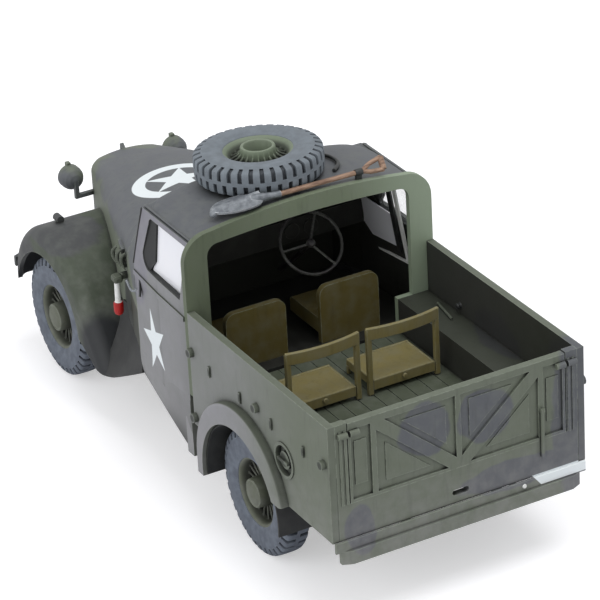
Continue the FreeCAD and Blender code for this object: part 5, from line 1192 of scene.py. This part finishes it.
# %% [markdown]
# ## Small fittings
# A board closes the gap under the tail, a strap holds the spare wheel, a rod
# lies on the bed's shelf, and a knob and a small lamp stick out. Last come the
# hooded slots on the bonnet's flanks. They are small, but a bare plate looks
# like card. Each is a rod, a bar or a turned knob, where a copied cube or
# sphere would show its plain ends.

# %% Valance, strap, knob, lamp and hooded slots
HOOD_START, HOOD_PITCH, HOODS = 15.2, 1.5, 3
VALANCE = [(-54.95, y, 13.95) for y in (-21.4, 0, 21.4)]
STRAP = [(0.9, -8.9, 46.85), (-1.8, -10.0, 46.95), (-4.6, -9.7, 47.1), (-6.8, -7.7, 47.25)]
piece("tail_valance", [bar(VALANCE, 0.2, 0.85, 0.08)], sill_green, "body")
piece("spare_strap", [rod(arc(STRAP, 20), 0.3)], soot_black, "body")
piece("shelf_rod", [rod([(-17.3, -19.1, 25.45), (-23.0, -18.2, 25.45)], 0.22, 10)], fittings,
      "body")
knob = turned([(0.1, 0.7), (0.4, 0.65), (0.5, 0.4), (0.35, 0.2), (0.6, 0), (0.1, 0)],
              (-21.8, -20.4, 26.6), (0, 1, 0), 14)
piece("wall_knob", [knob], soot_black, "body")
lamp = turned([(0.1, 0.3), (0.28, 0.26), (0.36, 0.1), (0.36, 0), (0.1, 0)],
              (-55.1, -10.6, 14.0), (-1, 0, 0), 12)
piece("number_lamp", [lamp], white_rod, "body")


def hood(start, side):
    """A bowed rod down the flank, whose radius swells as half a sine wave."""
    path = arc([(start, side * 18.3, 31.4), (start + 0.9, side * 18.55, 30.4),
                (start + 0.9, side * 18.6, 29.3), (start + 0.2, side * 18.45, 28.4)], 12)
    return rod(path, 0.3 * np.sin(np.linspace(0.25, 2.9, 12)) + 0.05, 8)


for side, hand in HANDS:
    piece(f"hoods_{hand}", [hood(HOOD_START + HOOD_PITCH * k, side) for k in range(HOODS)],
          fittings, "body")

# %% [markdown]
# ## Studio
# A small model is shot on white paper under a wide soft lamp. The paper is a
# plain floor that still takes the shadow, and the sky round it is even. What
# the camera sees of both is white, without throwing more light on the model.

# %% Floor, sky and lamps
FLOOR_HALF, PAPER_GLOW = 3.0, 0.43
SKY_LIGHT, SKY_SEEN = 0.62, 1.0


def lit_paper():
    """White paper: a diffuse floor, and for the camera's own rays a little light added."""
    paint = Paint("paper", Roughness=0.9)
    fleck = paint.noise(40.0, 2)
    paint.feed("Base Color", paint.mix(fleck, tint(226, 226, 230), tint(230, 230, 233)))
    seen = paint.node("ShaderNodeLightPath", out="Is Camera Ray")
    glow = paint.node("ShaderNodeEmission", {}, {"Color": tint(255, 255, 255),
                                                 "Strength": seen * PAPER_GLOW})
    both = paint.node("ShaderNodeAddShader", {},
                      {0: Wire(paint, paint.shader.outputs[0]), 1: glow})
    paint.fill(paint.own("OUTPUT_MATERIAL"), "Surface", both)
    return paint.material


paper = bpy.data.meshes.new("paper")
paper.from_pydata([(x * FLOOR_HALF, y * FLOOR_HALF, 0)
                   for x, y in ((-1, -1), (1, -1), (1, 1), (-1, 1))], [], [(0, 1, 2, 3)])
paper.materials.append(lit_paper())
floor = bpy.data.objects.new("paper", paper)
scene.collection.objects.link(floor)

scene.world = bpy.data.worlds.new("sky")
scene.world.use_nodes = True
sky = Tree(scene.world.node_tree)
camera_ray, clear_ray, gloss_ray = (sky.node("ShaderNodeLightPath", out=f"Is {kind} Ray")
                                    for kind in ("Camera", "Transmission", "Glossy"))
level = sky.node("ShaderNodeMapRange", {}, {"Value": camera_ray.either(clear_ray).either(gloss_ray),
                                            "To Min": SKY_LIGHT, "To Max": SKY_SEEN})
sky.fill(sky.own("BACKGROUND"), "Strength", level)
sky.fill(sky.own("BACKGROUND"), "Color", (1, 1, 1, 1))


def sun(name, toward, strength, spread):
    """A far lamp of even strength: where it stands, seen from the object, and how soft it is."""
    data = bpy.data.lights.new(name, "SUN")
    data.energy, data.angle = strength, math.radians(spread)
    made = bpy.data.objects.new(name, data)
    z = unit(np.array(toward, float))
    x = unit(np.cross((0, 0, 1), z))
    stand(made, x, np.cross(z, x), z)
    scene.collection.objects.link(made)


sun("key_lamp", (-0.25, -0.15, 1.0), 1.05, 30)
sun("fill_lamp", (-0.15, 1.0, 0.6), 0.85, 50)
print("studio ready")
